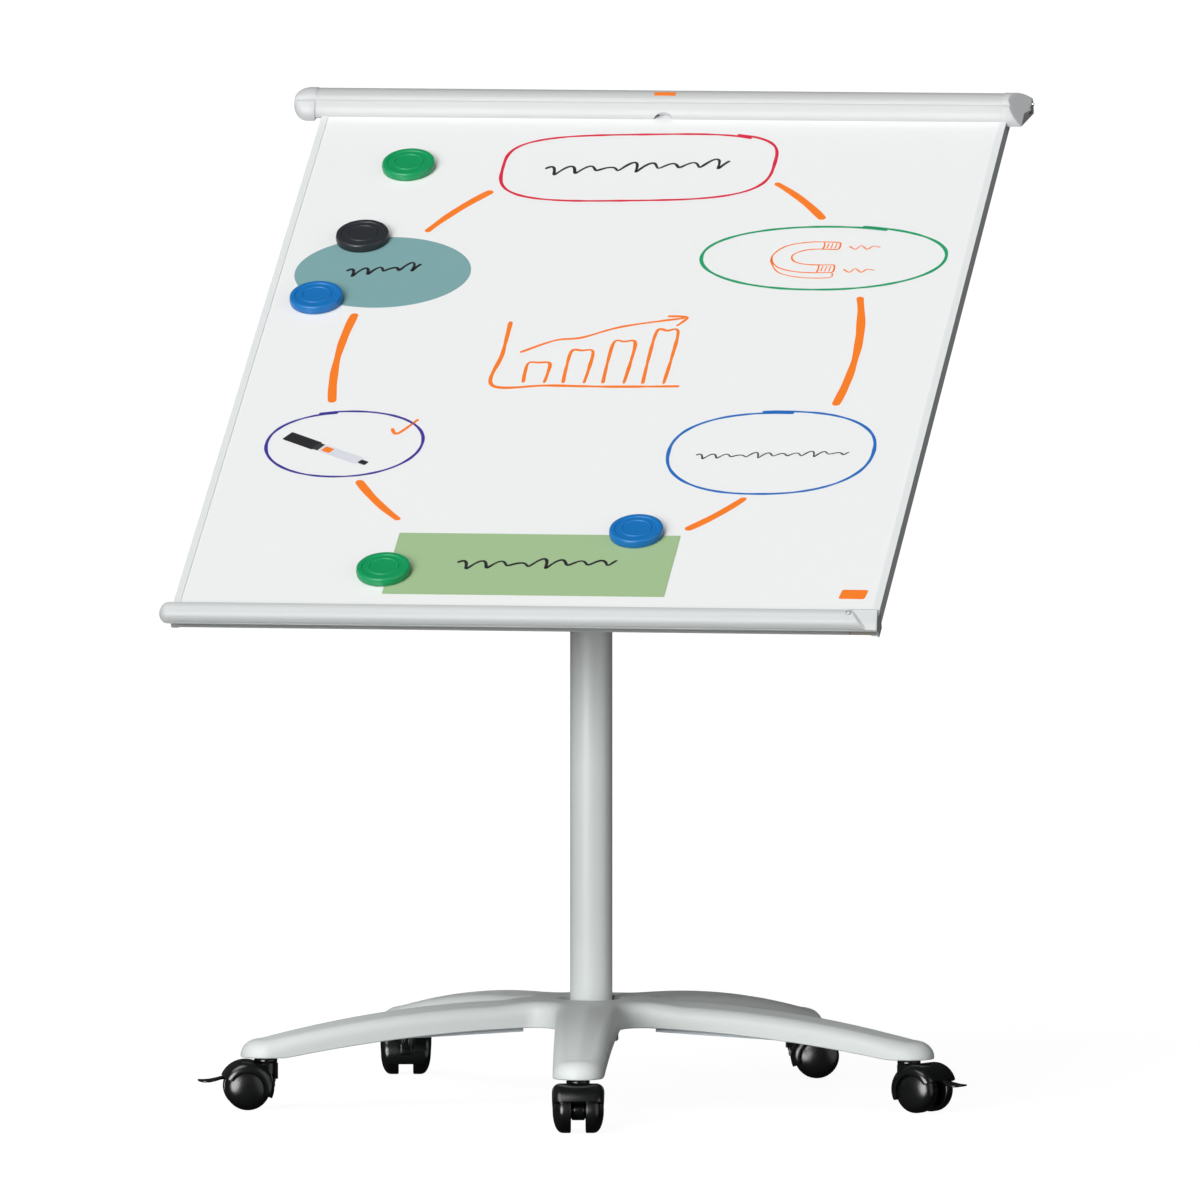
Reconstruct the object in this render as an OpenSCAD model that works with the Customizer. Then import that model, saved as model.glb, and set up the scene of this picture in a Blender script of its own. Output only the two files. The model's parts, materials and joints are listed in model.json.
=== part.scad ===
// Mobile flipchart easel: a magnetic board that tilts on a telescopic column over a five-castor star base.
// Millimetres. The origin is on the floor under the column, +Z is up and the board faces -Y.

/* [Board] */
// Width of the board over its side trims
board_w = 700; // [500:10:900]
// Height of the board
board_h = 1000; // [800:10:1200]
// Thickness of the board
board_t = 16; // [12:1:20]
// How far the board leans back from upright, in degrees
lean = 62.5; // [0:0.5:89]
// How far the tilt pivot sits below the middle of the board
pivot_drop = 70; // [0:5:120]
// Distance from the tilt pivot to the front face of the board
face_out = 60; // [60:1:70]

/* [Clamp] */
// Radius of the round clamp bar
bar_r = 24; // [23:0.5:27]
// How far the clamp bar overhangs each side of the board
bar_overhang = 15; // [4:1:20]
// Radius of the thumb notch in the middle of the clamp bar
notch_r = 16.5; // [12:0.5:22]
// Distance between the two pad hooks
hook_spacing = 400; // [360:10:440]

/* [Pen tray] */
// Radius of the quarter-round pen tray
tray_r = 14; // [13:0.5:20]
// Wall of the pen tray
tray_wall = 1.8; // [1.2:0.1:2.5]

/* [Magnets] */
// Diameter of a round magnet
magnet_d = 54; // [30:1:60]
// Thickness of a round magnet
magnet_t = 8; // [5:0.5:10]

/* [Column] */
// Height of the tilt pivot above the floor, with the column lowered
pivot_z = 655.5; // [640:0.5:700]
// Outside diameter of the outer tube
column_d = 42; // [40:1:46]
// Wall of the outer tube
column_wall = 1.8; // [1.5:0.1:2.2]
// Height of the top of the outer tube
column_top = 505; // [480:5:520]

/* [Base] */
// Radius from the column to the stem of a castor
castor_reach = 335; // [320:5:400]
// Height of the top of the hub
hub_top = 102.5; // [100:0.5:108]
// Turn of the base against the board, in degrees
base_yaw = 7.2; // [-36:0.1:36]
// Width of a leg
leg_w = 50; // [44:1:54]
// Wall of a leg
leg_wall = 3; // [2:0.5:4]

/* [Castors] */
// Diameter of a castor wheel
wheel_d = 45; // [45:1:46]
// Distance from a castor's stem to its axle
trail = 19; // [18:0.5:20]

/* [Hidden] */
$fn = 96;

// Castor places, each leg's castor heading (the way its wheels trail) and which castors have a brake.
PLACES = ["front", "right", "rear_right", "rear_left", "left"];
HEADINGS = [-80, -28, 10, 100, 195];
BRAKED = [1, 4];

// Clearances: a running fit on radius, and the gap between faces that pass or rest on each other.
fit = 0.05;
gap = 0.3;

// Castor heights, from the floor up.
axle_z = wheel_d / 2;
well_r = axle_z + 1.2;
hood_r = well_r + 2.5;
castor_top = 50;
tip_z = castor_top + 2;
stem_r = 5;
axle_r = 3;
web_half = 6.6;
wheel_in = 7.2;
wheel_out = 24.2;

// Leg arch: the top falls away outside arch_from, and the open underside follows a second arc.
arch_from = 70;
arch_r = 1136;
belly_from = 40;
belly_top = 77.4;
belly_r = 1562;
hub_r = 54;
hub_rise = 0.3;
boss_r = 27;
boss_z = 60;
recess_r = 32;
socket_r = 24;
socket_top = 97;
sleeve_r = 8;
sleeve_h = 14.5;

// Column, from the socket's floor up.
column_r = column_d / 2;
column_bore = column_r - column_wall;
column_z = 67;
inner_r = 18;
inner_wall = 1.5;
inner_z = 86;
inner_top = pivot_z - 26.5;
glide_z = 78;
glide_top = 108;
guide_z = 460;
collar_r = 27;
collar_z = 478;
collar_top = 535;
knob_z = 522;

// Tilt head, seen from the pivot.
head_r = 21;
head_z = inner_top - 26;
head_top = pivot_z - 17.5;
tongue_half = 12;
pivot_r = 16;
bolt_r = 5;
washer_t = 2;
ear_in = tongue_half + washer_t;
ear_out = ear_in + 6;
bracket_w = 60;
bracket_h = 72;
bracket_t = 3;
beam_w = 64;
beam_h = 500;
beam_t = 12;
beam_wall = 2;
tab_h = 25;
board_back = face_out - board_t;
beam_back = board_back - beam_t;
screw_r = 2.5;

// Board and its edges.
half_w = board_w / 2;
half_h = board_h / 2;
sheet_t = 0.5;
trim_wall = 1.5;
trim_lip = 7;
panel_half = half_w - trim_wall - fit;
panel_top = half_h - 4;

// Clamp: the bar's round centre, its hinge and the hook track, all in board coordinates.
bar_v = half_h - 16;
bar_w = -7;
bar_wall = 2;
bar_len = board_w + 2 * bar_overhang;
jaw_w = 0.9;
hinge_v = half_h + 0.5;
hinge_w = -1.5;
pin_r = 1.5;
knuckle_r = 3.4;
rail_len = board_w - 20;
rail_v = half_h - 30;
track_top = half_h - 8.2;
spring_x = 150;
spring_gap = 20;
hook_v = half_h - 20;
cap_len = 14;
cap_dome_r = 31;

// Pen tray: the quarter round's centre line, its flange under the board and where its right end piece starts.
tray_v = -half_h - 2;
tray_flange = 15;
tray_cap_len = 12;
tray_split = half_w - 28;
tray_cheek = 2;

paper_t = 0.25;
note_teal_r = [89, 69];
note_green_size = [280, 115];

// ---- placing ----

function leg_angle(i) = -90 + base_yaw + 72 * i;

// Children in leg coordinates: +X runs out along leg i from the column.
module on_leg(i) rotate([0, 0, leg_angle(i)]) children();

// Children in castor coordinates: the stem is the Z axis and the wheels trail along +X.
module on_castor(i) {
    on_leg(i) translate([castor_reach, 0, 0])
        rotate([0, 0, HEADINGS[i] - leg_angle(i)]) children();
}

// Children in pivot coordinates: +Y runs up the board and +Z out of its face, from the tilt pivot.
module on_pivot() translate([0, 0, pivot_z]) rotate([90 - lean, 0, 0]) children();

// Children in board coordinates: the origin is the middle of the front face.
module on_board() on_pivot() translate([0, pivot_drop, face_out]) children();

// A flat profile in the board's side view, its X up the board and its Y out of the face, drawn out
// along the board's width from x to x + length.
module across(x, length) translate([x, 0, 0]) rotate([90, 0, 90]) linear_extrude(length) children();

// A rod along X, centred on the child's origin.
module rod_x(r, x, length) translate([x, 0, 0]) rotate([0, 90, 0]) cylinder(r = r, h = length);

module ring(outer, inner, h) {
    difference() {
        cylinder(r = outer, h = h);
        translate([0, 0, -1]) cylinder(r = inner, h = h + 2);
    }
}

// ---- base ----

// Heights of a leg's top and of its open lower edge at radius r.
function leg_top(r) = hub_top - pow(max(r - arch_from, 0), 2) / (2 * arch_r);
function leg_bottom(r) = max(belly_top - pow(r - belly_from, 2) / (2 * belly_r), tip_z);

// A leg's side view as a solid block: from radius start outwards, under the arch lowered by inset.
module leg_block(start, inset, floor_z) {
    finish = castor_reach + leg_w / 2 + 5;
    step = (finish - start) / 16;
    top = [for (r = [start:step:finish + 1]) [r, leg_top(r) - inset]];
    low = [for (r = [finish:-step:start - 1]) [r, leg_bottom(r) - floor_z]];
    rotate([90, 0, 0]) linear_extrude(leg_w + 2, center = true) polygon(concat(top, low));
}

// A leg's outline from above, drawn in by inset.
module leg_plan(start, inset) {
    side = leg_w / 2 - inset;
    linear_extrude(hub_top + 1) {
        translate([start, -side]) square([castor_reach - start, 2 * side]);
        translate([castor_reach, 0]) circle(r = side);
    }
}

module leg() {
    difference() {
        intersection() {
            leg_block(46, 0, 0);
            leg_plan(45, 0);
        }
        difference() {
            intersection() {
                leg_block(hub_r, leg_wall, 10);
                leg_plan(hub_r, leg_wall);
            }
            translate([castor_reach, 0, 0]) cylinder(r = sleeve_r + 4, h = hub_top);
        }
    }
}

// One-piece moulding: a hub just proud of its five hollow legs, and the boss that takes the column socket.
module star_base() {
    color("gainsboro") difference() {
        union() {
            rotate_extrude() polygon([
                [bolt_r + 0.5, boss_z], [boss_r, boss_z], [boss_r, socket_top - 5],
                [hub_r - leg_wall, socket_top - 5], [hub_r - leg_wall, belly_top + 1.5],
                [hub_r, belly_top + 1.5],
                [hub_r, hub_top + hub_rise], [recess_r, hub_top + hub_rise], [recess_r, socket_top],
                [socket_r + fit, socket_top], [socket_r + fit, boss_z + 4], [bolt_r + 0.5, boss_z + 4]
            ]);
            for (i = [0:4]) on_leg(i) leg();
        }
        for (i = [0:4]) on_leg(i) translate([castor_reach, 0, tip_z - 1])
            cylinder(r = sleeve_r + fit, h = sleeve_h + 1.5);
    }
}

// Plastic cup that grips the foot of the column.
module hub_socket() {
    color("silver") translate([0, 0, boss_z + 4 + fit]) difference() {
        cylinder(r = socket_r, h = socket_top - boss_z - 4);
        translate([0, 0, 3]) cylinder(r = column_r + fit, h = 60);
        translate([0, 0, -1]) cylinder(r = bolt_r + 0.5, h = 10);
    }
}

// Hex bolt from below, through the boss and the socket into the column's foot plate.
module base_bolt() {
    color("dimgray") {
        translate([0, 0, boss_z - 6.5]) cylinder(r = 9, h = 6.45, $fn = 6);
        translate([0, 0, boss_z - 1]) cylinder(r = bolt_r, h = 14);
    }
}

// Steel channels inside the legs, their lower edges just below the leg sides near the hub.
module leg_stiffeners() {
    length = 214;
    depth = 10;
    side = leg_w - 2 * leg_wall - 2 * fit;
    color("darkgray") for (i = [0:4]) on_leg(i)
        translate([76, 0, belly_top - 4.9]) rotate([0, 2, 0]) difference() {
            translate([0, -side / 2, 0]) cube([length, side, depth]);
            translate([-1, -side / 2 + 2.5, -1]) cube([length + 2, side - 5, depth - 1.5]);
        }
}

module castor_sleeves() {
    color("silver") for (i = [0:4]) on_leg(i) translate([castor_reach, 0, tip_z])
        ring(sleeve_r, stem_r + fit, sleeve_h);
}

// Castor stems with their collars, held in the sleeves.
module castor_stems() {
    color("dimgray") for (i = [0:4]) on_leg(i) translate([castor_reach, 0, 0]) {
        translate([0, 0, 28]) cylinder(r = stem_r, h = tip_z + sleeve_h - 28);
        translate([0, 0, castor_top + gap]) cylinder(r = 7, h = tip_z - castor_top - gap - fit);
    }
}

// ---- castors ----

// A plate in the plane of the wheels, centred on the castor: half is its half thickness.
module wheel_plane(half) rotate([90, 0, 0]) translate([0, 0, -half]) linear_extrude(2 * half) children();

// The guard over the wheels and, between them, the web that carries the axle and the stem.
module castor_shell() {
    intersection() {
        translate([trail, 0, axle_z]) rotate([90, 0, 0]) cylinder(r = hood_r, h = 44, center = true);
        wheel_plane(30) translate([trail, axle_z]) polygon([
            [0, 0], [60 * cos(38), 60 * sin(38)], [60, 60], [-60, 60], [60 * cos(195), 60 * sin(195)]
        ]);
    }
    wheel_plane(web_half) {
        translate([trail, axle_z]) circle(r = 9);
        translate([-stem_r - 2, 21]) square([trail, 26]);
    }
    translate([0, 0, 34]) cylinder(r = 9.5, h = castor_top - 34);
}

module castor_housing(i) {
    color("black") on_castor(i) difference() {
        castor_shell();
        for (side = [-1, 1]) translate([trail, side * (web_half + 20), axle_z])
            rotate([90, 0, 0]) cylinder(r = well_r, h = 40, center = true);
        translate([0, 0, 27]) cylinder(r = stem_r + fit, h = 40);
        translate([trail, 0, axle_z]) rotate([90, 0, 0]) cylinder(r = axle_r + fit, h = 80, center = true);
        if (len(search(i, BRAKED)) > 0) brake_slot();
    }
}

// Where the brake lever pivots in the web, behind the axle.
brake_x = trail + 12;
brake_z = axle_z + 9;
brake_half = 4;

module brake_slot() {
    translate([brake_x - 7.5, -brake_half - gap, brake_z - 30]) cube([40, 2 * (brake_half + gap), 36.5]);
    translate([brake_x, 0, brake_z]) rotate([90, 0, 0]) cylinder(r = 1.5 + fit, h = 40, center = true);
}

// Foot pedal with its moulded pivot.
module brake_lever(i) {
    color("black") on_castor(i) {
        translate([brake_x, 0, brake_z]) rotate([90, 0, 0]) {
            cylinder(r = 1.5, h = 2 * web_half, center = true);
            cylinder(r = 4.5, h = 2 * brake_half, center = true);
        }
        translate([brake_x, 0, brake_z]) rotate([0, 8, 0]) {
            translate([0, -brake_half, -2]) cube([20, 2 * brake_half, 4]);
            translate([16.5, -11, -2]) cube([9, 22, 3.2]);
            translate([25.5, 0, -2]) intersection() {
                cylinder(r = 11, h = 3.2);
                translate([-1, -11, 0]) cube([12, 22, 4]);
            }
        }
    }
}

module castor_axle(i) {
    color("dimgray") on_castor(i) translate([trail, 0, axle_z]) rotate([90, 0, 0])
        cylinder(r = axle_r, h = 2 * wheel_out - 5, center = true);
}

// A wheel with a rounded tread and a dished outer face; side is +1 or -1 along the axle.
module wheel(i, side) {
    width = wheel_out - wheel_in;
    round_r = 5;
    color("black") on_castor(i) translate([trail, side * wheel_in, axle_z]) rotate([-90 * side, 0, 0])
        difference() {
            rotate_extrude() {
                translate([0, 0]) square([axle_z - 1.5, width - round_r]);
                translate([0, 1.5]) square([axle_z, width - round_r - 1.5]);
                translate([axle_z - 1.5, 1.5]) circle(r = 1.5);
                translate([axle_z - round_r, width - round_r]) circle(r = round_r);
                square([axle_z - round_r, width]);
            }
            translate([0, 0, -1]) cylinder(r = axle_r + fit, h = width - 1.5);
            translate([0, 0, width + 56]) sphere(r = 58);
        }
}

// ---- column ----

module column_tube() {
    color("gainsboro") {
        translate([0, 0, column_z + 2 * fit]) ring(column_r, column_bore, column_top - column_z - 2 * fit);
        translate([0, 0, column_z + 2 * fit]) ring(column_r - 1, bolt_r + fit, 6);
    }
}

// Bush in the mouth of the outer tube, with a lip on its edge.
module tube_guide() {
    color("darkgray") {
        translate([0, 0, guide_z]) ring(column_bore - fit, inner_r + fit, column_top - guide_z + 1);
        translate([0, 0, column_top + fit]) ring(column_r, inner_r + fit, 3);
    }
}

// Clamp collar round the mouth of the outer tube, with a boss for the knob's screw at the back.
module height_collar() {
    color("dimgray") difference() {
        union() {
            translate([0, 0, collar_z]) cylinder(r = collar_r, h = collar_top - collar_z);
            translate([0, 20, knob_z]) rotate([-90, 0, 0]) cylinder(r = 9, h = 16);
        }
        translate([0, 0, collar_z - 1]) cylinder(r = column_r + fit, h = column_top + 3.4 - collar_z + 1);
        cylinder(r = inner_r + 0.4, h = collar_top + 1);
        translate([0, 10, knob_z]) rotate([-90, 0, 0]) cylinder(r = 4 + fit, h = 40);
    }
}

// Five-lobed knob on its clamp screw.
module height_knob() {
    color("dimgray") translate([0, 0, knob_z]) rotate([-90, 0, 0]) {
        translate([0, 0, inner_r + 0.8]) cylinder(r = 4, h = 24);
        translate([0, 0, 36.5]) cylinder(r = 9, h = 5);
        translate([0, 0, 41]) linear_extrude(15) {
            circle(r = 14);
            for (i = [0:4]) rotate([0, 0, 72 * i]) translate([12.5, 0]) circle(r = 5.5);
        }
    }
}

module inner_tube() {
    color("gainsboro") translate([0, 0, inner_z])
        ring(inner_r, inner_r - inner_wall, inner_top - inner_z);
}

// Plug and glide on the foot of the inner tube.
module inner_glide() {
    color("darkgray") translate([0, 0, glide_z]) difference() {
        cylinder(r = column_bore - 0.08, h = glide_top - glide_z);
        translate([0, 0, inner_z - glide_z - fit]) cylinder(r = inner_r + fit, h = 40);
    }
}

// ---- tilt head ----

// Socket on the inner tube with a tongue that carries the tilt pivot.
module tilt_head() {
    color("silver") difference() {
        union() {
            translate([0, 0, head_z]) cylinder(r = head_r, h = head_top - head_z);
            translate([-tongue_half, -pivot_r, head_top - 1]) cube([2 * tongue_half, 2 * pivot_r, pivot_z - head_top + 1]);
            translate([0, 0, pivot_z]) rod_x(pivot_r, -tongue_half, 2 * tongue_half);
        }
        translate([0, 0, head_z - 1]) cylinder(r = inner_r + fit, h = inner_top - head_z + 1 + fit);
        translate([0, 0, pivot_z]) rod_x(bolt_r + fit, -40, 80);
    }
}

module friction_washers() {
    color("dimgray") translate([0, 0, pivot_z]) for (x = [-ear_in + fit, tongue_half + fit])
        difference() {
            rod_x(14, x, washer_t - 2 * fit);
            rod_x(bolt_r + fit, x - 1, 5);
        }
}

// Hex-headed bolt with a round end washer that keeps the lever on.
module tilt_bolt() {
    color("darkgray") translate([0, 0, pivot_z]) {
        rod_x(bolt_r, -ear_out - 2, 2 * ear_out + 16);
        translate([-ear_out - 6.5, 0, 0]) rotate([0, 90, 0]) cylinder(r = 9, h = 6.2, $fn = 6);
        rod_x(8, ear_out + 12.4, 4);
    }
}

// Locking lever on the bolt, pointing back from the board.
module tilt_lever() {
    color("dimgray") on_pivot() difference() {
        union() {
            rod_x(11, ear_out + gap, 11.7);
            translate([ear_out + 3, -5, -56]) cube([6, 10, 56]);
            translate([0, 0, -56]) rod_x(7.5, ear_out + 2, 8);
        }
        rod_x(bolt_r + fit, ear_out - 2, 20);
    }
}

// Bent steel bracket: a plate on the back beam with two ears on the pivot bolt.
module tilt_bracket() {
    color("gainsboro") on_pivot() difference() {
        union() {
            translate([-bracket_w / 2, -bracket_h / 2, beam_back - bracket_t])
                cube([bracket_w, bracket_h, bracket_t]);
            for (x = [-ear_out, ear_in]) {
                rod_x(pivot_r, x, ear_out - ear_in);
                translate([x, -pivot_r, 0]) cube([ear_out - ear_in, 2 * pivot_r, beam_back - 1]);
            }
        }
        rod_x(bolt_r + fit, -40, 80);
        bracket_screws(screw_r + fit, 2 * bracket_t, beam_back - 2 * bracket_t);
    }
}

// Four rods at the bracket's corners, from height z.
module bracket_screws(r, h, z) {
    for (x = [-1, 1], y = [-1, 1]) translate([x * 25, y * 29, z]) cylinder(r = r, h = h, $fn = 32);
}

// Four rods at the back beam's end tabs, from height z.
module beam_screws(r, h, z) {
    for (x = [-1, 1], y = [-1, 1])
        translate([x * 20, y * (beam_h + tab_h) / 2, z]) cylinder(r = r, h = h, $fn = 32);
}

// Steel channel up the middle of the board's back, screwed on through its end tabs.
module back_beam() {
    depth = beam_t - fit;
    color("gainsboro") on_pivot() difference() {
        union() {
            translate([-beam_w / 2, -beam_h / 2, beam_back]) cube([beam_w, beam_h, depth]);
            translate([-beam_w / 2, -beam_h / 2 - tab_h, board_back - fit - beam_wall])
                cube([beam_w, beam_h + 2 * tab_h, beam_wall]);
        }
        translate([-beam_w / 2 + beam_wall, -beam_h / 2 + beam_wall, beam_back + beam_wall])
            cube([beam_w - 2 * beam_wall, beam_h - 2 * beam_wall, depth]);
        bracket_screws(screw_r + fit, 10, beam_back - 2);
        beam_screws(screw_r + fit, 10, board_back - 5);
    }
}

// The bracket's four screws and the back beam's four.
module board_screws() {
    color("darkgray") on_pivot() {
        bracket_screws(screw_r, 10, beam_back - bracket_t - 1);
        bracket_screws(4.5, 2.5, beam_back - bracket_t - 2.5);
        beam_screws(screw_r, 14, board_back - beam_wall - 1);
        beam_screws(4.5, 2.5, board_back - beam_wall - 2.5 - 2 * fit);
    }
}

// ---- board ----

// Light core of the board.
module board_core() {
    color("wheat") difference() {
        on_board() translate([-panel_half, -half_h, -board_t])
            cube([2 * panel_half, half_h + panel_top, board_t - sheet_t]);
        on_pivot() beam_screws(screw_r + fit, 13, board_back - 1);
    }
}

// Enamelled steel writing face.
module board_sheet() {
    color("white") on_board() translate([-panel_half, -half_h, -sheet_t])
        cube([2 * panel_half, half_h + panel_top, sheet_t]);
}

// Folded channels that cover the board's left and right edges.
module side_trims() {
    front = 0.55;
    back = 1;
    depth = board_t + 2 * fit;
    color("lightgray") on_board() for (side = [-1, 1]) translate([side * half_w, 0, 0]) mirror([side > 0 ? 1 : 0, 0, 0])
        difference() {
            translate([0, -half_h, -depth - back + fit]) cube([trim_lip, half_h + panel_top, depth + front + back]);
            translate([trim_wall, -half_h - 1, -depth + fit]) cube([trim_lip, board_h + 2, depth]);
        }
}

// Track for the pad hooks and knuckles for the clamp's hinge pin.
module clamp_rail() {
    color("silver") on_board() difference() {
        union() {
            across(-rail_len / 2, rail_len) {
                translate([rail_v, fit]) square([panel_top + 1.5 - rail_v, 1.2]);
                translate([rail_v, fit]) square([1.5, 4.5]);
                translate([rail_v, 3.6]) square([6.5, 1]);
                translate([track_top - 1.5, fit]) square([1.5, 4.5]);
                translate([track_top - 6.3, 3.6]) square([6.3, 1]);
                translate([panel_top + fit, -board_t]) square([1.45, board_t + 1.2]);
            }
            translate([0, hinge_v, hinge_w]) rod_x(knuckle_r, -rail_len / 2, rail_len);
        }
        translate([0, hinge_v, hinge_w]) {
            rod_x(pin_r + fit, -rail_len, 2 * rail_len);
            for (side = [-1, 1]) rod_x(knuckle_r + 1, side * spring_x - spring_gap / 2, spring_gap);
        }
    }
}

module clamp_pin() {
    color("darkgray") on_board() translate([0, hinge_v, hinge_w]) rod_x(pin_r, -bar_len / 2 - 8, bar_len + 16);
}

// Two torsion springs round the hinge pin, one leg on the rail and one under the bar.
module clamp_springs() {
    wire = 0.7;
    coil = 2.6;
    color("silver") on_board() for (side = [-1, 1]) translate([side * spring_x, hinge_v, hinge_w]) {
        for (i = [-3:3]) translate([1.3 * i, 0, 0]) rotate([0, 90, 0]) rotate_extrude()
            translate([coil, 0]) circle(r = wire, $fn = 24);
        translate([4, 0, coil + 0.85]) rotate([90, 0, 0]) cylinder(r = wire, h = 7, $fn = 24);
        translate([-4, 0, coil]) rotate([42, 0, 0]) cylinder(r = wire, h = 14, $fn = 24);
    }
}

// Round clamp bar: a thin shell whose lower lip presses on the paper, with a notch for the thumb.
module clamp_bar() {
    color("gainsboro") on_board() difference() {
        across(-bar_len / 2, bar_len) difference() {
            translate([bar_v, bar_w]) circle(r = bar_r);
            translate([bar_v, bar_w]) circle(r = bar_r - bar_wall);
            translate([0, jaw_w - 100]) square([hinge_v + 2, 100]);
            translate([hinge_v + 1, bar_w + 1 - 100]) square([100, 100]);
        }
        translate([0, bar_v - bar_r - 11.5, -20]) cylinder(r = notch_r, h = 60);
    }
}

// The bar's side outline, grown by extra, as its end caps show it.
module cap_outline(extra) {
    translate([bar_v, bar_w]) circle(r = bar_r + extra);
}

// Solid end cap with a spigot inside the bar and a bore for the hinge pin.
module clamp_cap(side) {
    color("lightslategray") on_board() mirror([side < 0 ? 1 : 0, 0, 0]) difference() {
        union() {
            translate([bar_len / 2 + fit, bar_v, bar_w]) rotate([0, 90, 0]) intersection() {
                cylinder(r = bar_r + 0.6, h = cap_len);
                translate([0, 0, cap_len - cap_dome_r]) sphere(r = cap_dome_r);
            }
            intersection() {
                across(bar_len / 2 - 5, 6) cap_outline(-bar_wall - fit);
                translate([0, bar_v - bar_r, 1.5]) cube([board_w, 2 * bar_r, bar_r]);
            }
        }
        across(bar_len / 2 - 10, 40) translate([0, -100 - board_t]) square([board_h, 100]);
        translate([0, hinge_v, hinge_w]) rod_x(pin_r + fit, 0, bar_len / 2 + 8.5);
    }
}

// Hook that slides in the track: a shoe, a neck, a shoulder and the pin that goes through the pad's hole.
module pad_hook(side) {
    color("dimgray") on_board() translate([side * hook_spacing / 2, 0, 0]) {
        translate([-8, rail_v + 2.1, 1.6]) cube([16, 17.4, 1.7]);
        translate([-5, hook_v - 3, 3]) cube([10, 8, 2.4]);
        translate([-7, hook_v - 6, 5.2]) cube([14, 14, 1.2]);
        translate([0, hook_v, 6]) cylinder(r = 3.5, h = 7);
    }
}

// Gutter for pens: a back wall on the board's lower edge and a quarter-round front.
module pen_tray() {
    inner = tray_r - tray_wall;
    color("gainsboro") on_board() across(-half_w, half_w + tray_split) {
        intersection() {
            translate([tray_v, 0]) difference() {
                circle(r = tray_r);
                circle(r = inner);
            }
            translate([tray_v - 30, 0]) square([30, 30]);
        }
        translate([tray_v, tray_r - tray_wall / 2]) circle(r = tray_wall / 2 + 0.2);
        translate([tray_v - tray_r, -tray_wall]) square([tray_r + 1.95, tray_wall]);
        translate([tray_v, -tray_flange]) square([1.95, tray_flange]);
    }
}

// Rounded left end of the tray.
module tray_cap_left() {
    color("gainsboro") on_board() intersection() {
        translate([-half_w + 5, tray_v, 0]) sphere(r = tray_r);
        translate([-half_w - tray_cap_len, tray_v - tray_r, -tray_wall])
            cube([tray_cap_len - fit, tray_r, tray_r + 4]);
    }
}

// Solid right end of the tray, with a screw hole and a thin cheek against the board's side.
module tray_cap_right() {
    color("whitesmoke") on_board() difference() {
        union() {
            across(tray_split + fit, half_w + tray_cheek - tray_split) intersection() {
                translate([tray_v, 0]) circle(r = tray_r + 0.6);
                translate([tray_v - 30, -tray_wall]) square([31.95, 30]);
            }
            translate([half_w + fit, tray_v - 4, -tray_flange]) cube([tray_cheek, 20, tray_flange + 6]);
        }
        translate([tray_split + 6, tray_v - 5, -10]) cylinder(r = 2.5, h = 60);
    }
}

// ---- what is on the board ----

// A round magnet with a softened edge, lying w above the face at (x, v).
module magnet(x, v, w) {
    r = magnet_d / 2;
    on_board() translate([x, v, w]) rotate_extrude() {
        square([r - 1.5, magnet_t]);
        square([r, magnet_t - 1.5]);
        translate([r - 1.5, magnet_t - 1.5]) circle(r = 1.5);
    }
}

over_paper = paper_t + 3 * fit;

module magnets_green() {
    color("seagreen") {
        magnet(-245, 361, fit);
        magnet(-150, -420, over_paper);
    }
}

module magnets_blue() {
    color("steelblue") {
        magnet(-298, 98, over_paper);
        magnet(90, -343, over_paper);
    }
}

module magnet_black() color("darkslategray") magnet(-270, 219, over_paper);

// Oval paper note, from four arcs: two ends and two flanks.
module note_teal() {
    long = note_teal_r[0];
    short = note_teal_r[1];
    flank = (long * long + short * short) / (2 * short);
    color("cadetblue") on_board() translate([-240, 155, fit]) linear_extrude(paper_t) intersection() {
        translate([0, short - flank]) circle(r = flank);
        translate([0, flank - short]) circle(r = flank);
        circle(r = long - 2);
    }
}

module note_green() {
    color("darkseagreen") on_board()
        translate([-6 - note_green_size[0] / 2, -402 - note_green_size[1] / 2, fit])
            cube([note_green_size[0], note_green_size[1], paper_t]);
}

// ---- assembly ----

star_base();
hub_socket();
base_bolt();
leg_stiffeners();
castor_sleeves();
castor_stems();
column_tube();
tube_guide();
height_collar();
height_knob();
inner_tube();
inner_glide();
tilt_head();
friction_washers();
tilt_bolt();
tilt_lever();
tilt_bracket();
back_beam();
board_screws();
board_core();
board_sheet();
side_trims();
clamp_rail();
clamp_pin();
clamp_springs();
clamp_bar();
clamp_cap(-1);  // clamp_cap_left
clamp_cap(1);  // clamp_cap_right
pad_hook(-1);  // pad_hook_left
pad_hook(1);  // pad_hook_right
pen_tray();
tray_cap_left();
tray_cap_right();
magnets_green();
magnets_blue();
magnet_black();
note_teal();
note_green();
for (i = [0:4]) {
    castor_housing(i);
    castor_axle(i);
    wheel(i, -1);
    wheel(i, 1);
}
for (i = BRAKED) {
    brake_lever(i);
}
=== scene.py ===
import json
import math

import bmesh
import bpy
from mathutils import Matrix, Vector


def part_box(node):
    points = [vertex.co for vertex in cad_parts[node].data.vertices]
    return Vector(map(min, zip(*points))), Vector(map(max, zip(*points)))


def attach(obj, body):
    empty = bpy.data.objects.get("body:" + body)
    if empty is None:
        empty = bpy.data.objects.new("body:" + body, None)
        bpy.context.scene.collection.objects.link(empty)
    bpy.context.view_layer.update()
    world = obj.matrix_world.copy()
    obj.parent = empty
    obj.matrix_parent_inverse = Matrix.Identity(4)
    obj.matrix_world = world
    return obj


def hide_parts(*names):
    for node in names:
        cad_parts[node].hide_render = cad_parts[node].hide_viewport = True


# The looks of the flipchart easel. Shapes are drawn in millimetres and placed by matrices in metres.
# The board's own frame has x to the right, v up the board and w out of its writing face.

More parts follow.
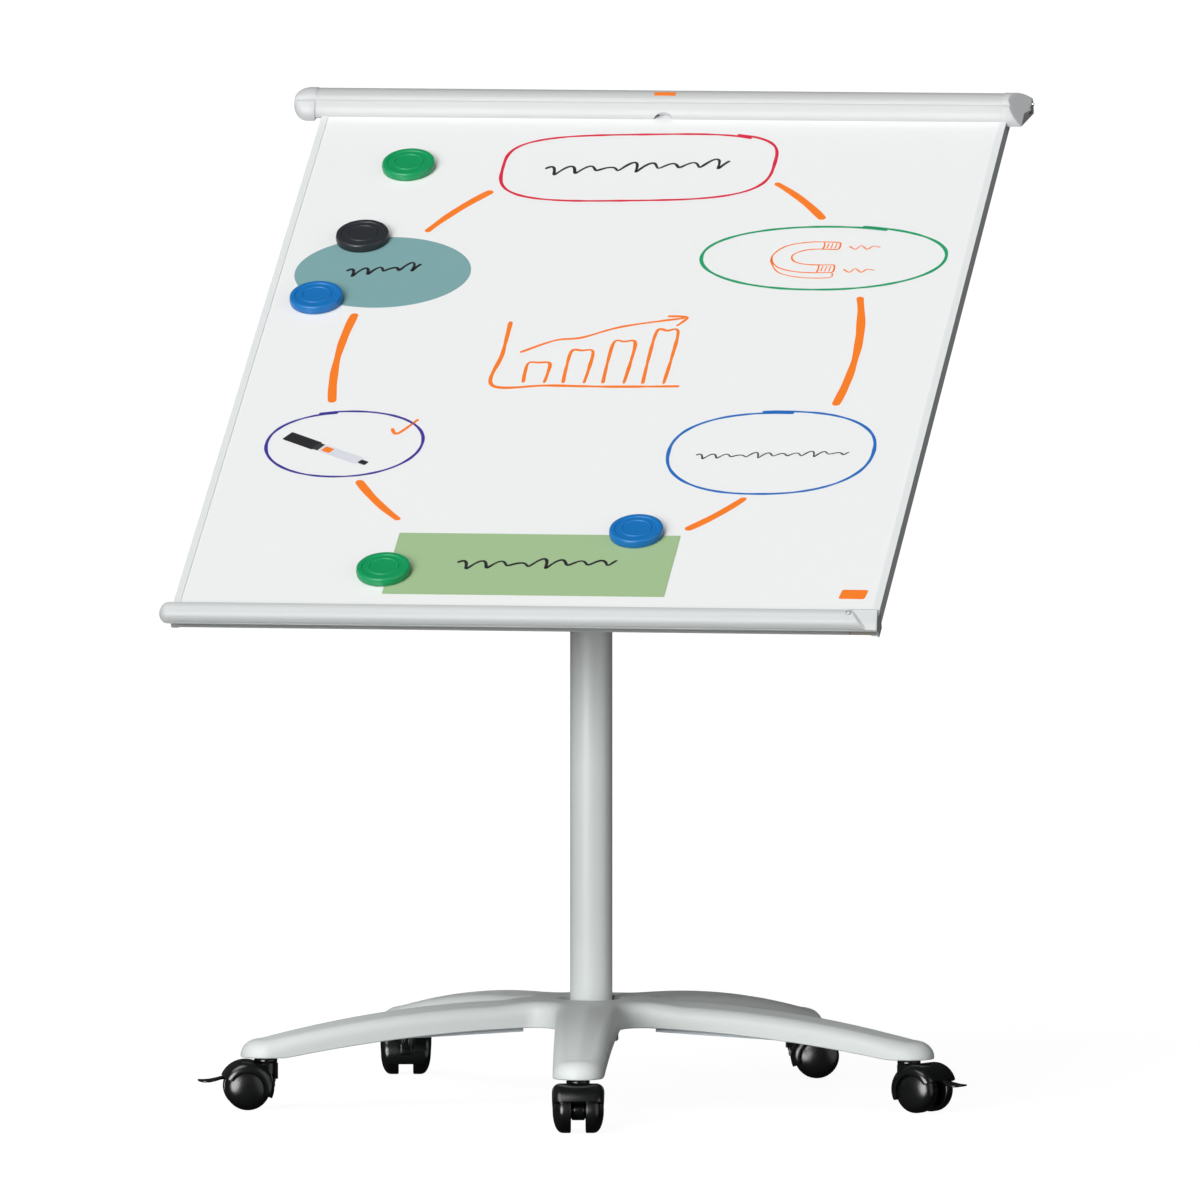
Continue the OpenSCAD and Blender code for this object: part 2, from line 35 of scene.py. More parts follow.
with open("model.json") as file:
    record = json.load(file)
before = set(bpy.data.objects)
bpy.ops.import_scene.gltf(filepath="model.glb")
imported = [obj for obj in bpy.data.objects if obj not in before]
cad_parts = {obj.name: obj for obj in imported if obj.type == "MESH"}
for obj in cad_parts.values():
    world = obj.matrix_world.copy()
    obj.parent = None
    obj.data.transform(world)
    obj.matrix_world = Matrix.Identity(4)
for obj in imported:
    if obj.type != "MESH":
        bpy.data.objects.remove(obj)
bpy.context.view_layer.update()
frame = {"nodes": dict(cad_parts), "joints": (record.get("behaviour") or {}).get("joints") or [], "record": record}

MM = Matrix.Scale(0.001, 4)
JOINTS = {joint["name"]: joint for joint in frame["joints"]}
PLACES = ["front", "right", "rear_right", "rear_left", "left"]


# ---- frames of the moving parts ----


def axes(origin, x_axis, y_axis, z_axis):
    """The matrix that takes a frame's millimetres to metres in the shared frame."""
    turn = Matrix((x_axis, y_axis, z_axis)).transposed().to_4x4()
    return Matrix.Translation(origin) @ turn @ MM


def board_frame():
    """The frame in the middle of the writing face."""
    face = next(m for m in frame["record"]["mounts"] if m["name"] == "board_face")
    out = Vector(face["axis"])
    right = Vector((1, 0, 0))
    return axes(Vector(face["pos_m"]), right, out.cross(right), out)


def castor_frame(place):
    """A castor's frame: on the floor under its stem, with +X the way its wheels trail."""
    stem = Vector(JOINTS[f"castor_swivel_{place}"]["pos_m"])
    wheels = [Vector(JOINTS[f"wheel_{letter}_spin_{place}"]["pos_m"]) for letter in "ab"]
    axle = (wheels[0] + wheels[1]) / 2
    stem.z = 0
    ahead = Vector((axle.x - stem.x, axle.y - stem.y, 0)).normalized()
    up = Vector((0, 0, 1))
    return axes(stem, ahead, up.cross(ahead), up)


def leg_turn(place):
    """The turn about Z that brings +X onto a leg."""
    stem = JOINTS[f"castor_swivel_{place}"]["pos_m"]
    return Matrix.Rotation(math.atan2(stem[1], stem[0]), 4, "Z")


BOARD = board_frame()
PIVOT = Vector(JOINTS["board_tilt"]["pos_m"])


def local_box(node, matrix):
    """Lowest and highest corner of a CAD node in another frame, in millimetres."""
    back = matrix.inverted()
    points = [back @ vertex.co for vertex in frame["nodes"][node].data.vertices]
    low = Vector([min(p[i] for p in points) for i in range(3)])
    high = Vector([max(p[i] for p in points) for i in range(3)])
    return low, high


# ---- shapes: each is (points, faces) ----


def joined(*shapes):
    """Several shapes as one."""
    points, faces = [], []
    for shape_points, shape_faces in shapes:
        first = len(points)
        points.extend(Vector(p) for p in shape_points)
        faces.extend(tuple(first + i for i in face) for face in shape_faces)
    return points, faces


def moved(shape, matrix):
    """The shape with its points put through a matrix."""
    return [matrix @ Vector(p) for p in shape[0]], shape[1]


def unit(angle):
    """The vector of length one at an angle."""
    return Vector((math.cos(angle), math.sin(angle)))


def rounded(corners, steps=6):
    """A closed outline from (x, y, radius) corners, each turned into an arc of that radius."""
    outline = []
    for i, (x, y, radius) in enumerate(corners):
        here = Vector((x, y))
        if radius == 0:
            outline.append(here)
            continue
        before = (Vector(corners[i - 1][:2]) - here).normalized()
        after = (Vector(corners[(i + 1) % len(corners)][:2]) - here).normalized()
        half = before.angle(after) / 2
        middle = here + (before + after).normalized() * radius / math.sin(half)
        start = here + before * radius / math.tan(half) - middle
        end = here + after * radius / math.tan(half) - middle
        first = math.atan2(start.y, start.x)
        sweep = math.remainder(math.atan2(end.y, end.x) - first, math.tau)
        for k in range(steps + 1):
            angle = first + sweep * k / steps
            outline.append(middle + radius * unit(angle))
    return outline


def skin(rings, close=False):
    """Quads between equal closed rings of points, capped at both ends unless the rings close up."""
    count = len(rings[0])
    points = [p for ring in rings for p in ring]
    faces = []
    spans = len(rings) if close else len(rings) - 1
    for k in range(spans):
        low, high = k * count, ((k + 1) % len(rings)) * count
        for i in range(count):
            j = (i + 1) % count
            faces.append((low + i, low + j, high + j, high + i))
    if not close:
        faces.append(tuple(range(count)))
        faces.append(tuple(range((len(rings) - 1) * count, len(rings) * count)))
    return points, faces


def lathe(outline, steps=96):
    """A closed (radius, height) outline turned round Z. Points on the axis close it."""
    rings = []
    for k in range(steps):
        angle = math.tau * k / steps
        rings.append([Vector((r * math.cos(angle), r * math.sin(angle), z)) for r, z in outline])
    return skin(rings, close=True)


def prism(outline, low, high, edge=0.4, steps=3):
    """A flat outline drawn out along +Z from low to high, with its edges rounded."""
    middle = sum(outline, Vector((0, 0))) / len(outline)
    reach = max((p - middle).length for p in outline)
    angles = [math.pi / 2 * k / steps for k in range(steps + 1)]
    steps_in = [(edge * (1 - math.sin(angle)), edge * (1 - math.cos(angle))) for angle in angles]
    rings = [(inset, low + rise) for inset, rise in steps_in]
    rings += [(inset, high - rise) for inset, rise in reversed(steps_in)]
    return skin([[shrunk(p, middle, inset, reach).to_3d() + Vector((0, 0, z)) for p in outline]
                 for inset, z in rings])


def shrunk(point, middle, inset, reach):
    """The point drawn towards the middle by its share of inset."""
    return middle + (point - middle) * (1 - inset / reach)


def box(low, high, edge=0.6):
    """A block between two corners, with rounded upright and lying edges."""
    outline = rounded([(low[0], low[1], edge), (high[0], low[1], edge),
                       (high[0], high[1], edge), (low[0], high[1], edge)], 3)
    return prism(outline, low[2], high[2], edge)


def piece(name, shape, material, body, place=MM, replaces=(), sharp=38):
    """Makes a shape a mesh that rides on a body, smooth but for edges sharper than sharp degrees."""
    mesh = bpy.data.meshes.new(name)
    mesh.from_pydata([tuple(p) for p in shape[0]], [], shape[1])
    mesh.transform(place)
    work = bmesh.new()
    work.from_mesh(mesh)
    bmesh.ops.remove_doubles(work, verts=work.verts, dist=1e-6)
    bmesh.ops.recalc_face_normals(work, faces=work.faces)
    work.to_mesh(mesh)
    work.free()
    mesh.materials.append(material)
    mesh.shade_smooth()
    mesh.set_sharp_from_angle(angle=math.radians(sharp))
    obj = bpy.data.objects.new(name, mesh)
    bpy.context.scene.collection.objects.link(obj)
    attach(obj, body)
    if replaces:
        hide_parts(*replaces)
    return obj


# ---- materials ----


def tone(red, green, blue):
    """A colour from 0-255 display values."""
    return [((c / 255 + 0.055) / 1.055) ** 2.4 if c > 10 else c / 255 / 12.92
            for c in (red, green, blue)]


def surface(name, colour, roughness, grain=0.0, grain_scale=900.0, metallic=0.0, coat=0.0, drift=0.05):
    """A finish with a slow drift in its gloss and, with grain, a fine texture in its height."""
    material = bpy.data.materials.new(name)
    material.use_nodes = True
    nodes, links = material.node_tree.nodes, material.node_tree.links
    shader = nodes["Principled BSDF"]
    shader.inputs["Base Color"].default_value = (*colour, 1)
    shader.inputs["Metallic"].default_value = metallic
    shader.inputs["Coat Weight"].default_value = coat
    shader.inputs["Coat Roughness"].default_value = 0.12
    where = nodes.new("ShaderNodeTexCoord")
    cloud = nodes.new("ShaderNodeTexNoise")
    cloud.inputs["Scale"].default_value = 35
    cloud.inputs["Detail"].default_value = 3
    gloss = nodes.new("ShaderNodeMapRange")
    gloss.inputs["To Min"].default_value = roughness - drift
    gloss.inputs["To Max"].default_value = roughness + drift
    links.new(where.outputs["Object"], cloud.inputs["Vector"])
    links.new(cloud.outputs["Fac"], gloss.inputs["Value"])
    links.new(gloss.outputs["Result"], shader.inputs["Roughness"])
    if grain:
        speck = nodes.new("ShaderNodeTexNoise")
        speck.inputs["Scale"].default_value = grain_scale
        speck.inputs["Detail"].default_value = 2
        bump = nodes.new("ShaderNodeBump")
        bump.inputs["Strength"].default_value = grain
        bump.inputs["Distance"].default_value = 0.0004
        links.new(where.outputs["Object"], speck.inputs["Vector"])
        links.new(speck.outputs["Fac"], bump.inputs["Height"])
        links.new(bump.outputs["Normal"], shader.inputs["Normal"])
    return material


LIGHT = surface("light_plastic", tone(200, 205, 204), 0.5, grain=0.35, grain_scale=700)
PAINT = surface("column_paint", tone(202, 207, 206), 0.42, grain=0.25)
CLAMP = surface("clamp_paint", tone(184, 185, 185), 0.4, grain=0.12)
TRAY = surface("tray_plastic", tone(180, 183, 183), 0.4, grain=0.12)
CAP = surface("cap_plastic", tone(187, 189, 190), 0.42, grain=0.1)
TRIM = surface("trim_paint", tone(214, 218, 218), 0.4, grain=0.15)
ENAMEL = surface("board_enamel", tone(230, 231, 231), 0.22, coat=0.3, drift=0.02)
CORE = surface("board_core", tone(176, 170, 158), 0.7, grain=0.4)
STEEL = surface("steel", tone(176, 180, 184), 0.3, grain=0.1, metallic=0.9)
CHANNEL = surface("channel_steel", tone(186, 194, 198), 0.45, grain=0.2)
BUSH = surface("bush_plastic", tone(150, 156, 156), 0.5, grain=0.2)
DARK = surface("dark_plastic", tone(48, 51, 54), 0.42, grain=0.3)
CASTOR = surface("castor_plastic", tone(9, 11, 12), 0.22, grain=0.05, drift=0.04)
WHEEL = surface("wheel_plastic", tone(11, 12, 13), 0.26, grain=0.06)
GREEN_MAGNET = surface("magnet_green", tone(0, 140, 82), 0.34, grain=0.1)
BLUE_MAGNET = surface("magnet_blue", tone(8, 104, 172), 0.34, grain=0.1)
BLACK_MAGNET = surface("magnet_black", tone(36, 39, 43), 0.34, grain=0.1)
TEAL_PAPER = surface("paper_teal", tone(112, 152, 154), 0.8, grain=0.3, grain_scale=500)
GREEN_PAPER = surface("paper_green", tone(148, 176, 132), 0.8, grain=0.3, grain_scale=500)
ORANGE_INK = surface("ink_orange", tone(235, 118, 22), 0.5)
RED_INK = surface("ink_red", tone(205, 22, 58), 0.5)
GREEN_INK = surface("ink_green", tone(16, 150, 98), 0.5)
BLUE_INK = surface("ink_blue", tone(12, 100, 180), 0.5)
INDIGO_INK = surface("ink_indigo", tone(52, 44, 140), 0.5)
BLACK_INK = surface("ink_black", tone(28, 28, 32), 0.5)
WHITE_INK = surface("pen_white", tone(206, 208, 216), 0.4)


# ---- CAD nodes that are shown as they are ----

SHOWN = {
    "base_bolt": STEEL, "leg_stiffeners": CHANNEL, "castor_sleeves": BUSH, "castor_stems": STEEL,
    "tube_guide": BUSH, "inner_glide": BUSH, "friction_washers": BUSH, "tilt_bolt": STEEL,
    "tilt_bracket": PAINT, "back_beam": PAINT, "board_screws": STEEL, "board_core": CORE,
    "board_sheet": ENAMEL, "side_trims": TRIM, "clamp_rail": STEEL, "clamp_pin": STEEL,
    "clamp_springs": STEEL, "pad_hook_left": DARK, "pad_hook_right": DARK,
    **{f"castor_axle_{place}": STEEL for place in PLACES},
}


def finish_node(node, material, edge=0.0004):
    """Gives a CAD node its material and softens its edges without touching its mesh."""
    obj = frame["nodes"][node]
    obj.data.materials.clear()
    obj.data.materials.append(material)
    weld = obj.modifiers.new("weld", "WELD")
    weld.merge_threshold = 1e-6
    flat = obj.modifiers.new("flat", "DECIMATE")
    flat.decimate_type = "DISSOLVE"
    flat.angle_limit = math.radians(0.5)
    soft = obj.modifiers.new("soft", "BEVEL")
    soft.width = edge
    soft.segments = 2
    soft.limit_method = "ANGLE"
    soft.angle_limit = math.radians(40)
    soft.use_clamp_overlap = True
    shade = obj.modifiers.new("shade", "WEIGHTED_NORMAL")
    shade.keep_sharp = True


# ---- star base ----

# A leg narrows from its root to its half-round tip over the castor. Its top and its underside are
# arches of different radius, and its top falls away by ROOF from a soft ridge along its middle.
HUB_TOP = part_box("star_base")[1].z * 1000 - 0.3
LEG_HALF, ROOT_HALF = 25.0, 32.0
LEG_WALL = 3.0
CASTOR_REACH = round(math.hypot(*JOINTS["castor_swivel_front"]["pos_m"][:2]) * 1000, 2)
ARCH_FROM, ARCH_R = 70.0, 1136.0
BELLY_FROM, BELLY_TOP, BELLY_R, TIP_Z = 40.0, 77.4, 1562.0, 52.0
RECESS_R, RECESS_FLOOR = 32.0, 97.0
FLOOR_UNDER = RECESS_FLOOR - 5
RING_R, RING_END = RECESS_R + 1.5, 84.0
HALF_GAP = math.pi / len(PLACES)
FILLET_R = 26.0
FILLET_REACH = (ROOT_HALF + FILLET_R) / math.sin(HALF_GAP)
TIP_FROM = 300.0
ROOF = 5.0


def leg_top(reach):
    return HUB_TOP - max(reach - ARCH_FROM, 0) ** 2 / (2 * ARCH_R)


def leg_bottom(reach):
    return max(BELLY_TOP - max(reach - BELLY_FROM, 0) ** 2 / (2 * BELLY_R), TIP_Z)


def blend(low, high, value):
    """A smooth step from 0 at low to 1 at high."""
    t = min(max((value - low) / (high - low), 0), 1)
    return t * t * (3 - 2 * t)


def leg_edge():
    """Half a leg's outline from mid-gap to tip: (point, inward normal, how near the tip) steps."""
    centre = unit(HALF_GAP) * FILLET_REACH
    edge = []
    for k in range(13):
        angle = math.pi + HALF_GAP + (math.pi / 2 - HALF_GAP) * k / 12
        away = unit(angle)
        edge.append((centre + away * FILLET_R, away, 0.0))
    for k in range(1, 40):
        share = k / 40
        x = centre.x + (CASTOR_REACH - centre.x) * share
        y = ROOT_HALF + (LEG_HALF - ROOT_HALF) * share
        edge.append((Vector((x, y)), Vector((0, -1)), blend(TIP_FROM, CASTOR_REACH, x) * 0.4))
    for k in range(17):
        angle = math.pi / 2 * (1 - k / 16)
        away = unit(angle)
        nearness = 0.4 + 0.6 * math.sin(math.pi / 2 * k / 16)
        edge.append((Vector((CASTOR_REACH, 0)) + away * LEG_HALF, -away, nearness))
    return edge


def leg_spine(point):
    """The point of the recess ring or of the leg's middle line for an outline point, and if it's the ring."""
    if point.x < RING_END:
        start = (FILLET_REACH - FILLET_R) * math.cos(HALF_GAP)
        share = min(max((point.x - start) / (RING_END - start), 0), 1)
        angle = HALF_GAP * (1 - share)
        return unit(angle) * RING_R, True
    line_end = CASTOR_REACH + 12
    slope = (line_end - RING_R) / (CASTOR_REACH + LEG_HALF - RING_END)
    return Vector((RING_R + (point.x - RING_END) * slope, 0)), False


def leg_column(point, inward, tip):
    """One strip of points over the leg: spine, top, rounded edge, side, lip, inner wall and ceiling."""
    spine, on_ring = leg_spine(point)
    inset = 13 + 7 * tip
    shoulder = point + inward * inset
    low = leg_bottom(point.length if tip < 0.9 else CASTOR_REACH)

    def top(place):
        slope = math.hypot(place.y / LEG_HALF, 0.1) - 0.1
        return leg_top(place.length) - ROOF * slope * blend(60, 110, place.x)

    drop = min(12 + 6 * tip, top(shoulder) - low - 2)
    strip = []
    for k in range(7):
        place = spine.lerp(shoulder, k / 6)
        strip.append((place.x, place.y, top(place)))
    for k in range(1, 9):
        angle = math.pi / 2 * k / 8
        place = point + inward * inset * (1 - math.sin(angle))
        strip.append((place.x, place.y, top(shoulder) - drop * (1 - math.cos(angle))))
    start = top(shoulder) - drop
    for k in range(1, 4):
        strip.append((point.x, point.y, start + (low + 0.8 - start) * k / 3))
    lip = point + inward * 0.8
    inner = point + inward * LEG_WALL
    strip.append((lip.x, lip.y, low))
    strip.append((inner.x, inner.y, low))
    ceiling = min(top(shoulder) - 6, FLOOR_UNDER)
    strip.append((inner.x, inner.y, max(ceiling - 3, low + 1)))
    for k in range(1, 4):
        place = (point + inward * (LEG_WALL + 3)).lerp(spine, k / 3)
        strip.append((place.x, place.y, max(min(top(place) - 4, FLOOR_UNDER), low + 2)))
    if on_ring:
        wall = spine.normalized() * RECESS_R
        soft = spine.normalized() * (RECESS_R + 0.4)
        strip.append((wall.x, wall.y, FLOOR_UNDER))
        strip.append((wall.x, wall.y, HUB_TOP - 1.4))
        strip.append((soft.x, soft.y, HUB_TOP - 0.4))
    else:
        strip.extend([strip[0]] * 3)
    return strip


def half_leg():
    """Half a leg: its strips close along the recess wall, and past it stop at the leg's middle line."""
    edge = leg_edge()
    strips = [leg_column(*step) for step in edge]
    count = len(strips[0])
    wall_spans = 4
    points = [p for strip in strips for p in strip]
    faces = []
    for k in range(len(strips) - 1):
        on_ring = leg_spine(edge[k + 1][0])[1]
        spans = range(count) if on_ring else range(count - wall_spans)
        for i in spans:
            j = (i + 1) % count
            faces.append((k * count + i, k * count + j, (k + 1) * count + j, (k + 1) * count + i))
    return points, faces


def star_base():
    """Five legs of two mirrored halves each, the hub's cup with its ribs, and the socket in it."""
    half = half_leg()
    mirrored = moved(half, Matrix.Scale(-1, 4, (0, 1, 0)))
    parts = []
    for place in PLACES:
        parts += [moved(half, leg_turn(place)), moved(mirrored, leg_turn(place))]
    core = [Vector(p) for p in rounded([
        (5.5, 60, 0.6), (27, 60, 1.5), (27, FLOOR_UNDER, 0), (RECESS_R + 0.6, FLOOR_UNDER, 0),
        (RECESS_R + 0.6, RECESS_FLOOR, 0), (24.2, RECESS_FLOOR, 0.4), (24.2, 64, 0), (5.5, 64, 0)], 4)]
    rib = box((20, -1.4, 78), (74, 1.4, 93), 0.5)
    ribs = [moved(rib, leg_turn(place) @ Matrix.Rotation(HALF_GAP * side, 4, "Z"))
            for place in PLACES for side in (-0.35, 0.35)]
    shape = joined(*parts, lathe(core), *ribs)
    piece("base_star", shape, LIGHT, "base", replaces=["star_base"])
    rim = RECESS_FLOOR - 0.2
    socket = rounded([(21.05, 66, 0), (24, 66, 0), (24, rim, 1.0), (21.05, rim, 0.6)], 4)
    piece("base_socket", lathe(socket), BUSH, "base", replaces=["hub_socket"])


# ---- column, collar and head ----


def tube(outer, inner, low, high, edge=0.8):
    outline = [(outer, low, edge), (outer, high, edge), (inner, high, 0.3), (inner, low, 0.3)]
    return lathe(rounded(outline, 4))


def column():
    """The outer tube and the inner tube that slides in it."""
    low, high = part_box("column_tube")
    piece("column_outer", tube(21, 19.2, low.z * 1000, high.z * 1000), PAINT, "base",
          replaces=["column_tube"])
    low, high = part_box("inner_tube")
    piece("column_inner", tube(18, 16.5, low.z * 1000, high.z * 1000), PAINT, "mast",
          replaces=["inner_tube"])


def collar():
    """The ridged clamp collar on the outer tube, and its five-lobed knob on a screw."""
    low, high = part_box("height_collar")
    bottom, top = low.z * 1000, high.z * 1000
    knob_z = JOINTS["height_knob_turn"]["pos_m"][2] * 1000
    mouth = bottom + 30.4
    sleeve = lathe(rounded([(21.1, bottom, 0.5), (25.5, bottom, 1.5), (27, bottom + 5, 2), (27, top - 4, 3),
                            (23, top, 2), (18.4, top, 0.5), (18.4, mouth, 0), (21.1, mouth, 0)], 5))
    ridge = [lathe(rounded([(26.5, z, 0.3), (27.4, z, 0.3),
                            (27.4, z + 1.6, 0.3), (26.5, z + 1.6, 0.3)], 2))
             for z in (bottom + 9, bottom + 13, bottom + 17)]
    boss = lathe(rounded([(4.1, 20, 0), (9, 20, 0), (9, 36, 1.2), (4.1, 36, 0.3)], 4), 48)
    along_y = Matrix.Translation((0, 0, knob_z)) @ Matrix.Rotation(-math.pi / 2, 4, "X")
    piece("column_collar", joined(sleeve, *ridge, moved(boss, along_y)), DARK, "base",
          replaces=["height_collar"])
    lobes = []
    for k in range(100):
        angle = math.tau * k / 100
        reach = 15.2 + 2.6 * math.cos(5 * angle)
        lobes.append(unit(angle) * reach)
    head = prism(lobes, 41, 56, 2.2, 5)
    screw = lathe(rounded([(0, 18.8, 0), (4, 18.8, 0.6), (4, 37, 0),
                           (9, 37, 0.6), (9, 42, 0), (0, 42, 0)], 3), 48)
    cap = lathe(rounded([(0, 55, 0), (8.5, 55, 0), (8, 56.8, 0.6), (0, 57, 0)], 3), 48)
    piece("column_knob", moved(joined(head, screw, cap), along_y), DARK, "knob",
          replaces=["height_knob"])


def tilt_parts():
    """The head on the inner tube: a cup with a round-topped tongue for the tilt bolt."""
    bottom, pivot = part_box("tilt_head")[0].z * 1000, PIVOT.z * 1000
    shoulder = pivot - 17.5
    cup = lathe(rounded([(18.1, bottom, 0.3), (21, bottom, 1.2), (21, shoulder, 2.5), (0, shoulder, 0),
                         (0, shoulder - 9, 0), (18.1, shoulder - 9, 0)], 4))
    arch = [16 * unit(math.pi * k / 32) for k in range(33)]
    outline = [Vector((16, -18.5))] + arch + [Vector((-16, -18.5))]
    tongue = moved(prism(outline, -12, 12, 1.2, 3),
                   Matrix.Translation((0, 0, pivot)) @ Matrix.Rotation(math.pi / 2, 4, "Z")
                   @ Matrix.Rotation(math.pi / 2, 4, "X"))
    piece("mast_head", joined(cup, tongue), BUSH, "head", replaces=["tilt_head"])


def lock_lever():
    """Locking lever: a round hub on the tilt bolt and a flat arm with a round end, pointing back."""
    hub = moved(lathe(rounded([(5.1, 20.3, 0.3), (11, 20.3, 1), (11, 32, 2), (5.1, 32, 0.5)], 4), 64),
                Matrix.Rotation(math.pi / 2, 4, "Y"))
    arm = [Vector((-5, 0)), Vector((5, 0)), Vector((6, -48))]
    arm += [Vector((0, -56)) + 7.5 * unit(a)
            for a in [math.radians(20 - 11 * k) for k in range(21)]]
    arm.append(Vector((-6, -48)))
    upright = Matrix.Rotation(math.pi / 2, 4, "Z") @ Matrix.Rotation(math.pi / 2, 4, "X")
    blade = moved(prism(arm, 23, 29, 1.4, 4), upright)
    place = axes(PIVOT, *BOARD.to_3x3().normalized().col)
    piece("head_lever", joined(hub, blade), DARK, "lock_lever", place, ["tilt_lever"])


# ---- castors ----

# A castor's own frame: the stem stands on its origin, the axle trails it by TRAIL along +X.
AXLE_Z = 22.5
TRAIL = 19.0
GUARD_R = 26.2
WHEEL_IN, WHEEL_OUT = 7.2, 24.2
CASTOR_TOP = 50.0


def guard():
    """The shell over both wheels: a swept hood, widest and deepest in the middle of its sweep."""
    start, end = math.radians(24), math.radians(204)
    corner, wall = 8.0, 1.2
    sections = []
    for k in range(41):
        share = k / 40
        angle = start + (end - start) * share
        bulge = math.sin(math.pi * share) ** 0.6
        skirt = 18 - 2 * bulge
        half = 24.2 + 1.6 * bulge
        turns = [math.pi / 2 * k / 6 for k in range(7)]
        outer = [(-half, skirt)]
        outer += [(corner - half - corner * math.cos(turn), GUARD_R - corner + corner * math.sin(turn))
                  for turn in turns]
        outer += [(-x, r) for x, r in reversed(outer)]
        bend = corner - wall
        inner = [(half - corner + bend * math.cos(turn), GUARD_R - corner + bend * math.sin(turn))
                 for turn in reversed(turns)]
        inner.append((half - wall, skirt + 0.3))
        inner += [(-x, r) for x, r in reversed(inner)]
        ring = []
        for y, reach in outer + inner:
            ring.append(Vector((TRAIL + reach * math.cos(angle), y, AXLE_Z + reach * math.sin(angle))))
        sections.append(ring)
    return skin(sections)


def castor_body():
    """Guard, the neck that holds the stem, and the web between the wheels."""
    neck = lathe(rounded([(5.1, 27, 0), (9.8, 27, 1), (10.6, 36, 1), (11, 46, 0.5), (11.6, 48, 0.5),
                          (11.6, CASTOR_TOP, 0.8), (5.1, CASTOR_TOP, 0.4)], 4), 72)
    web = [Vector((TRAIL, AXLE_Z)) + 10 * unit(math.tau * k / 40) for k in range(40)]
    upright = Matrix.Rotation(math.pi / 2, 4, "X")
    hub = moved(prism(web, -6.4, 6.4, 1, 3), upright)
    brace = rounded([(-9, 22, 2), (TRAIL, 14, 3), (TRAIL + 8, 30, 2),
                     (TRAIL - 2, 45, 2), (-9, 40, 2)], 4)
    spine = moved(prism(brace, -5.8, 5.8, 1, 3), upright)
    parts = [guard(), neck, hub, spine]
    for y in (-3.2, 3.2):
        parts.append(box((-12, y - 0.9, 30), (-8, y + 0.9, 46), 0.5))
    return joined(*parts)


def wheel_shape():
    """A wheel on +Z from its inner face: a narrow tread that runs on into a smooth domed disc."""
    width = WHEEL_OUT - WHEEL_IN
    tread = rounded([(4, 1.2, 0), (15, 1.2, 0), (16, 0, 0), (AXLE_Z, 0, 1.5), (AXLE_Z, 7, 0)], 5)
    dome = []
    for k in range(1, 25):
        angle = math.pi / 2 * k / 24
        dome.append(Vector((AXLE_Z * math.cos(angle), 7 + (width - 6) * math.sin(angle) ** 0.8)))
    return lathe(tread + dome + [Vector((0, 1.2))], 96)


def brake_pedal():
    """The foot lever at the trailing end: a slim tongue that widens and turns up at its tip."""
    rings = []
    stations = [(30, 34.5, 4, 2.6), (38, 32.6, 4, 2.2), (45, 31.2, 4.6, 1.7), (50, 29.8, 9, 1.5),
                (56, 28.6, 11, 1.4), (62, 28.4, 10.4, 1.3), (66, 28.9, 7.4, 1.1), (67.4, 29.3, 3.4, 0.7)]
    for x, z, half, thick in stations:
        ring = []
        for k in range(24):
            angle = math.tau * k / 24
            across = math.copysign(abs(math.cos(angle)) ** 0.5, math.cos(angle))
            height = math.copysign(abs(math.sin(angle)) ** 0.7, math.sin(angle))
            ring.append(Vector((x, half * across, z + thick * height)))
        rings.append(ring)
    hinge = Matrix.Translation((31, 0, 31.5)) @ Matrix.Rotation(math.pi / 2, 4, "X")
    pin = lathe([Vector(p) for p in ((0, -6), (1.5, -6), (1.5, 6), (0, 6))], 24)
    knuckle = lathe(rounded([(0, -3.9, 0), (4.4, -3.9, 0.6), (4.4, 3.9, 0.6), (0, 3.9, 0)], 3), 40)
    return joined(skin(rings), moved(pin, hinge), moved(knuckle, hinge))


def castors():
    """A guard and two wheels under each leg, and a pedal where the frame has one."""
    for place in PLACES:
        where = castor_frame(place)
        piece(f"guard_{place}", castor_body(), CASTOR, f"castor_{place}", where,
              [f"castor_housing_{place}"], sharp=50)
        for letter, side in (("a", -1), ("b", 1)):
            turn = Matrix.Rotation(-side * math.pi / 2, 4, "X")
            spot = Matrix.Translation((TRAIL, side * WHEEL_IN, AXLE_Z))
            wheel = f"wheel_{letter}_{place}"
            piece(f"disc_{letter}_{place}", moved(wheel_shape(), spot @ turn), WHEEL, wheel,
                  where, [wheel])
        if f"brake_lever_{place}" in frame["nodes"]:
            piece(f"pedal_{place}", brake_pedal(), CASTOR, f"brake_{place}", where,
                  [f"brake_lever_{place}"])


# ---- clamp bar ----

# Angles run round the bar from the board's plane, BAR_V up the board and BAR_W out of its face.
BAR_R = 24.0
BAR_V, BAR_W = 484.0, -7.0
BAR_WALL = 2.0
BAR_END = local_box("clamp_bar", BOARD)[1].x
CAP_END = local_box("clamp_cap_right", BOARD)[1].x
RIGHT_RIM = BAR_END - 20
LIP_V = 461.3
NOTCH_R, NOTCH_V = 16.5, 448.5
REAR_ANGLE = math.radians(2.4)
GROOVE_ANGLE = math.radians(117)


def bar_reach(angle):
    """The bar's radius at an angle from the board's plane: a groove, and a slimmer ridge below it."""
    groove = math.exp(-((angle - GROOVE_ANGLE) / math.radians(3.2)) ** 2)
    lower = blend(GROOVE_ANGLE, GROOVE_ANGLE + math.radians(8), angle)
    return BAR_R - 1.3 * groove - 0.5 * lower


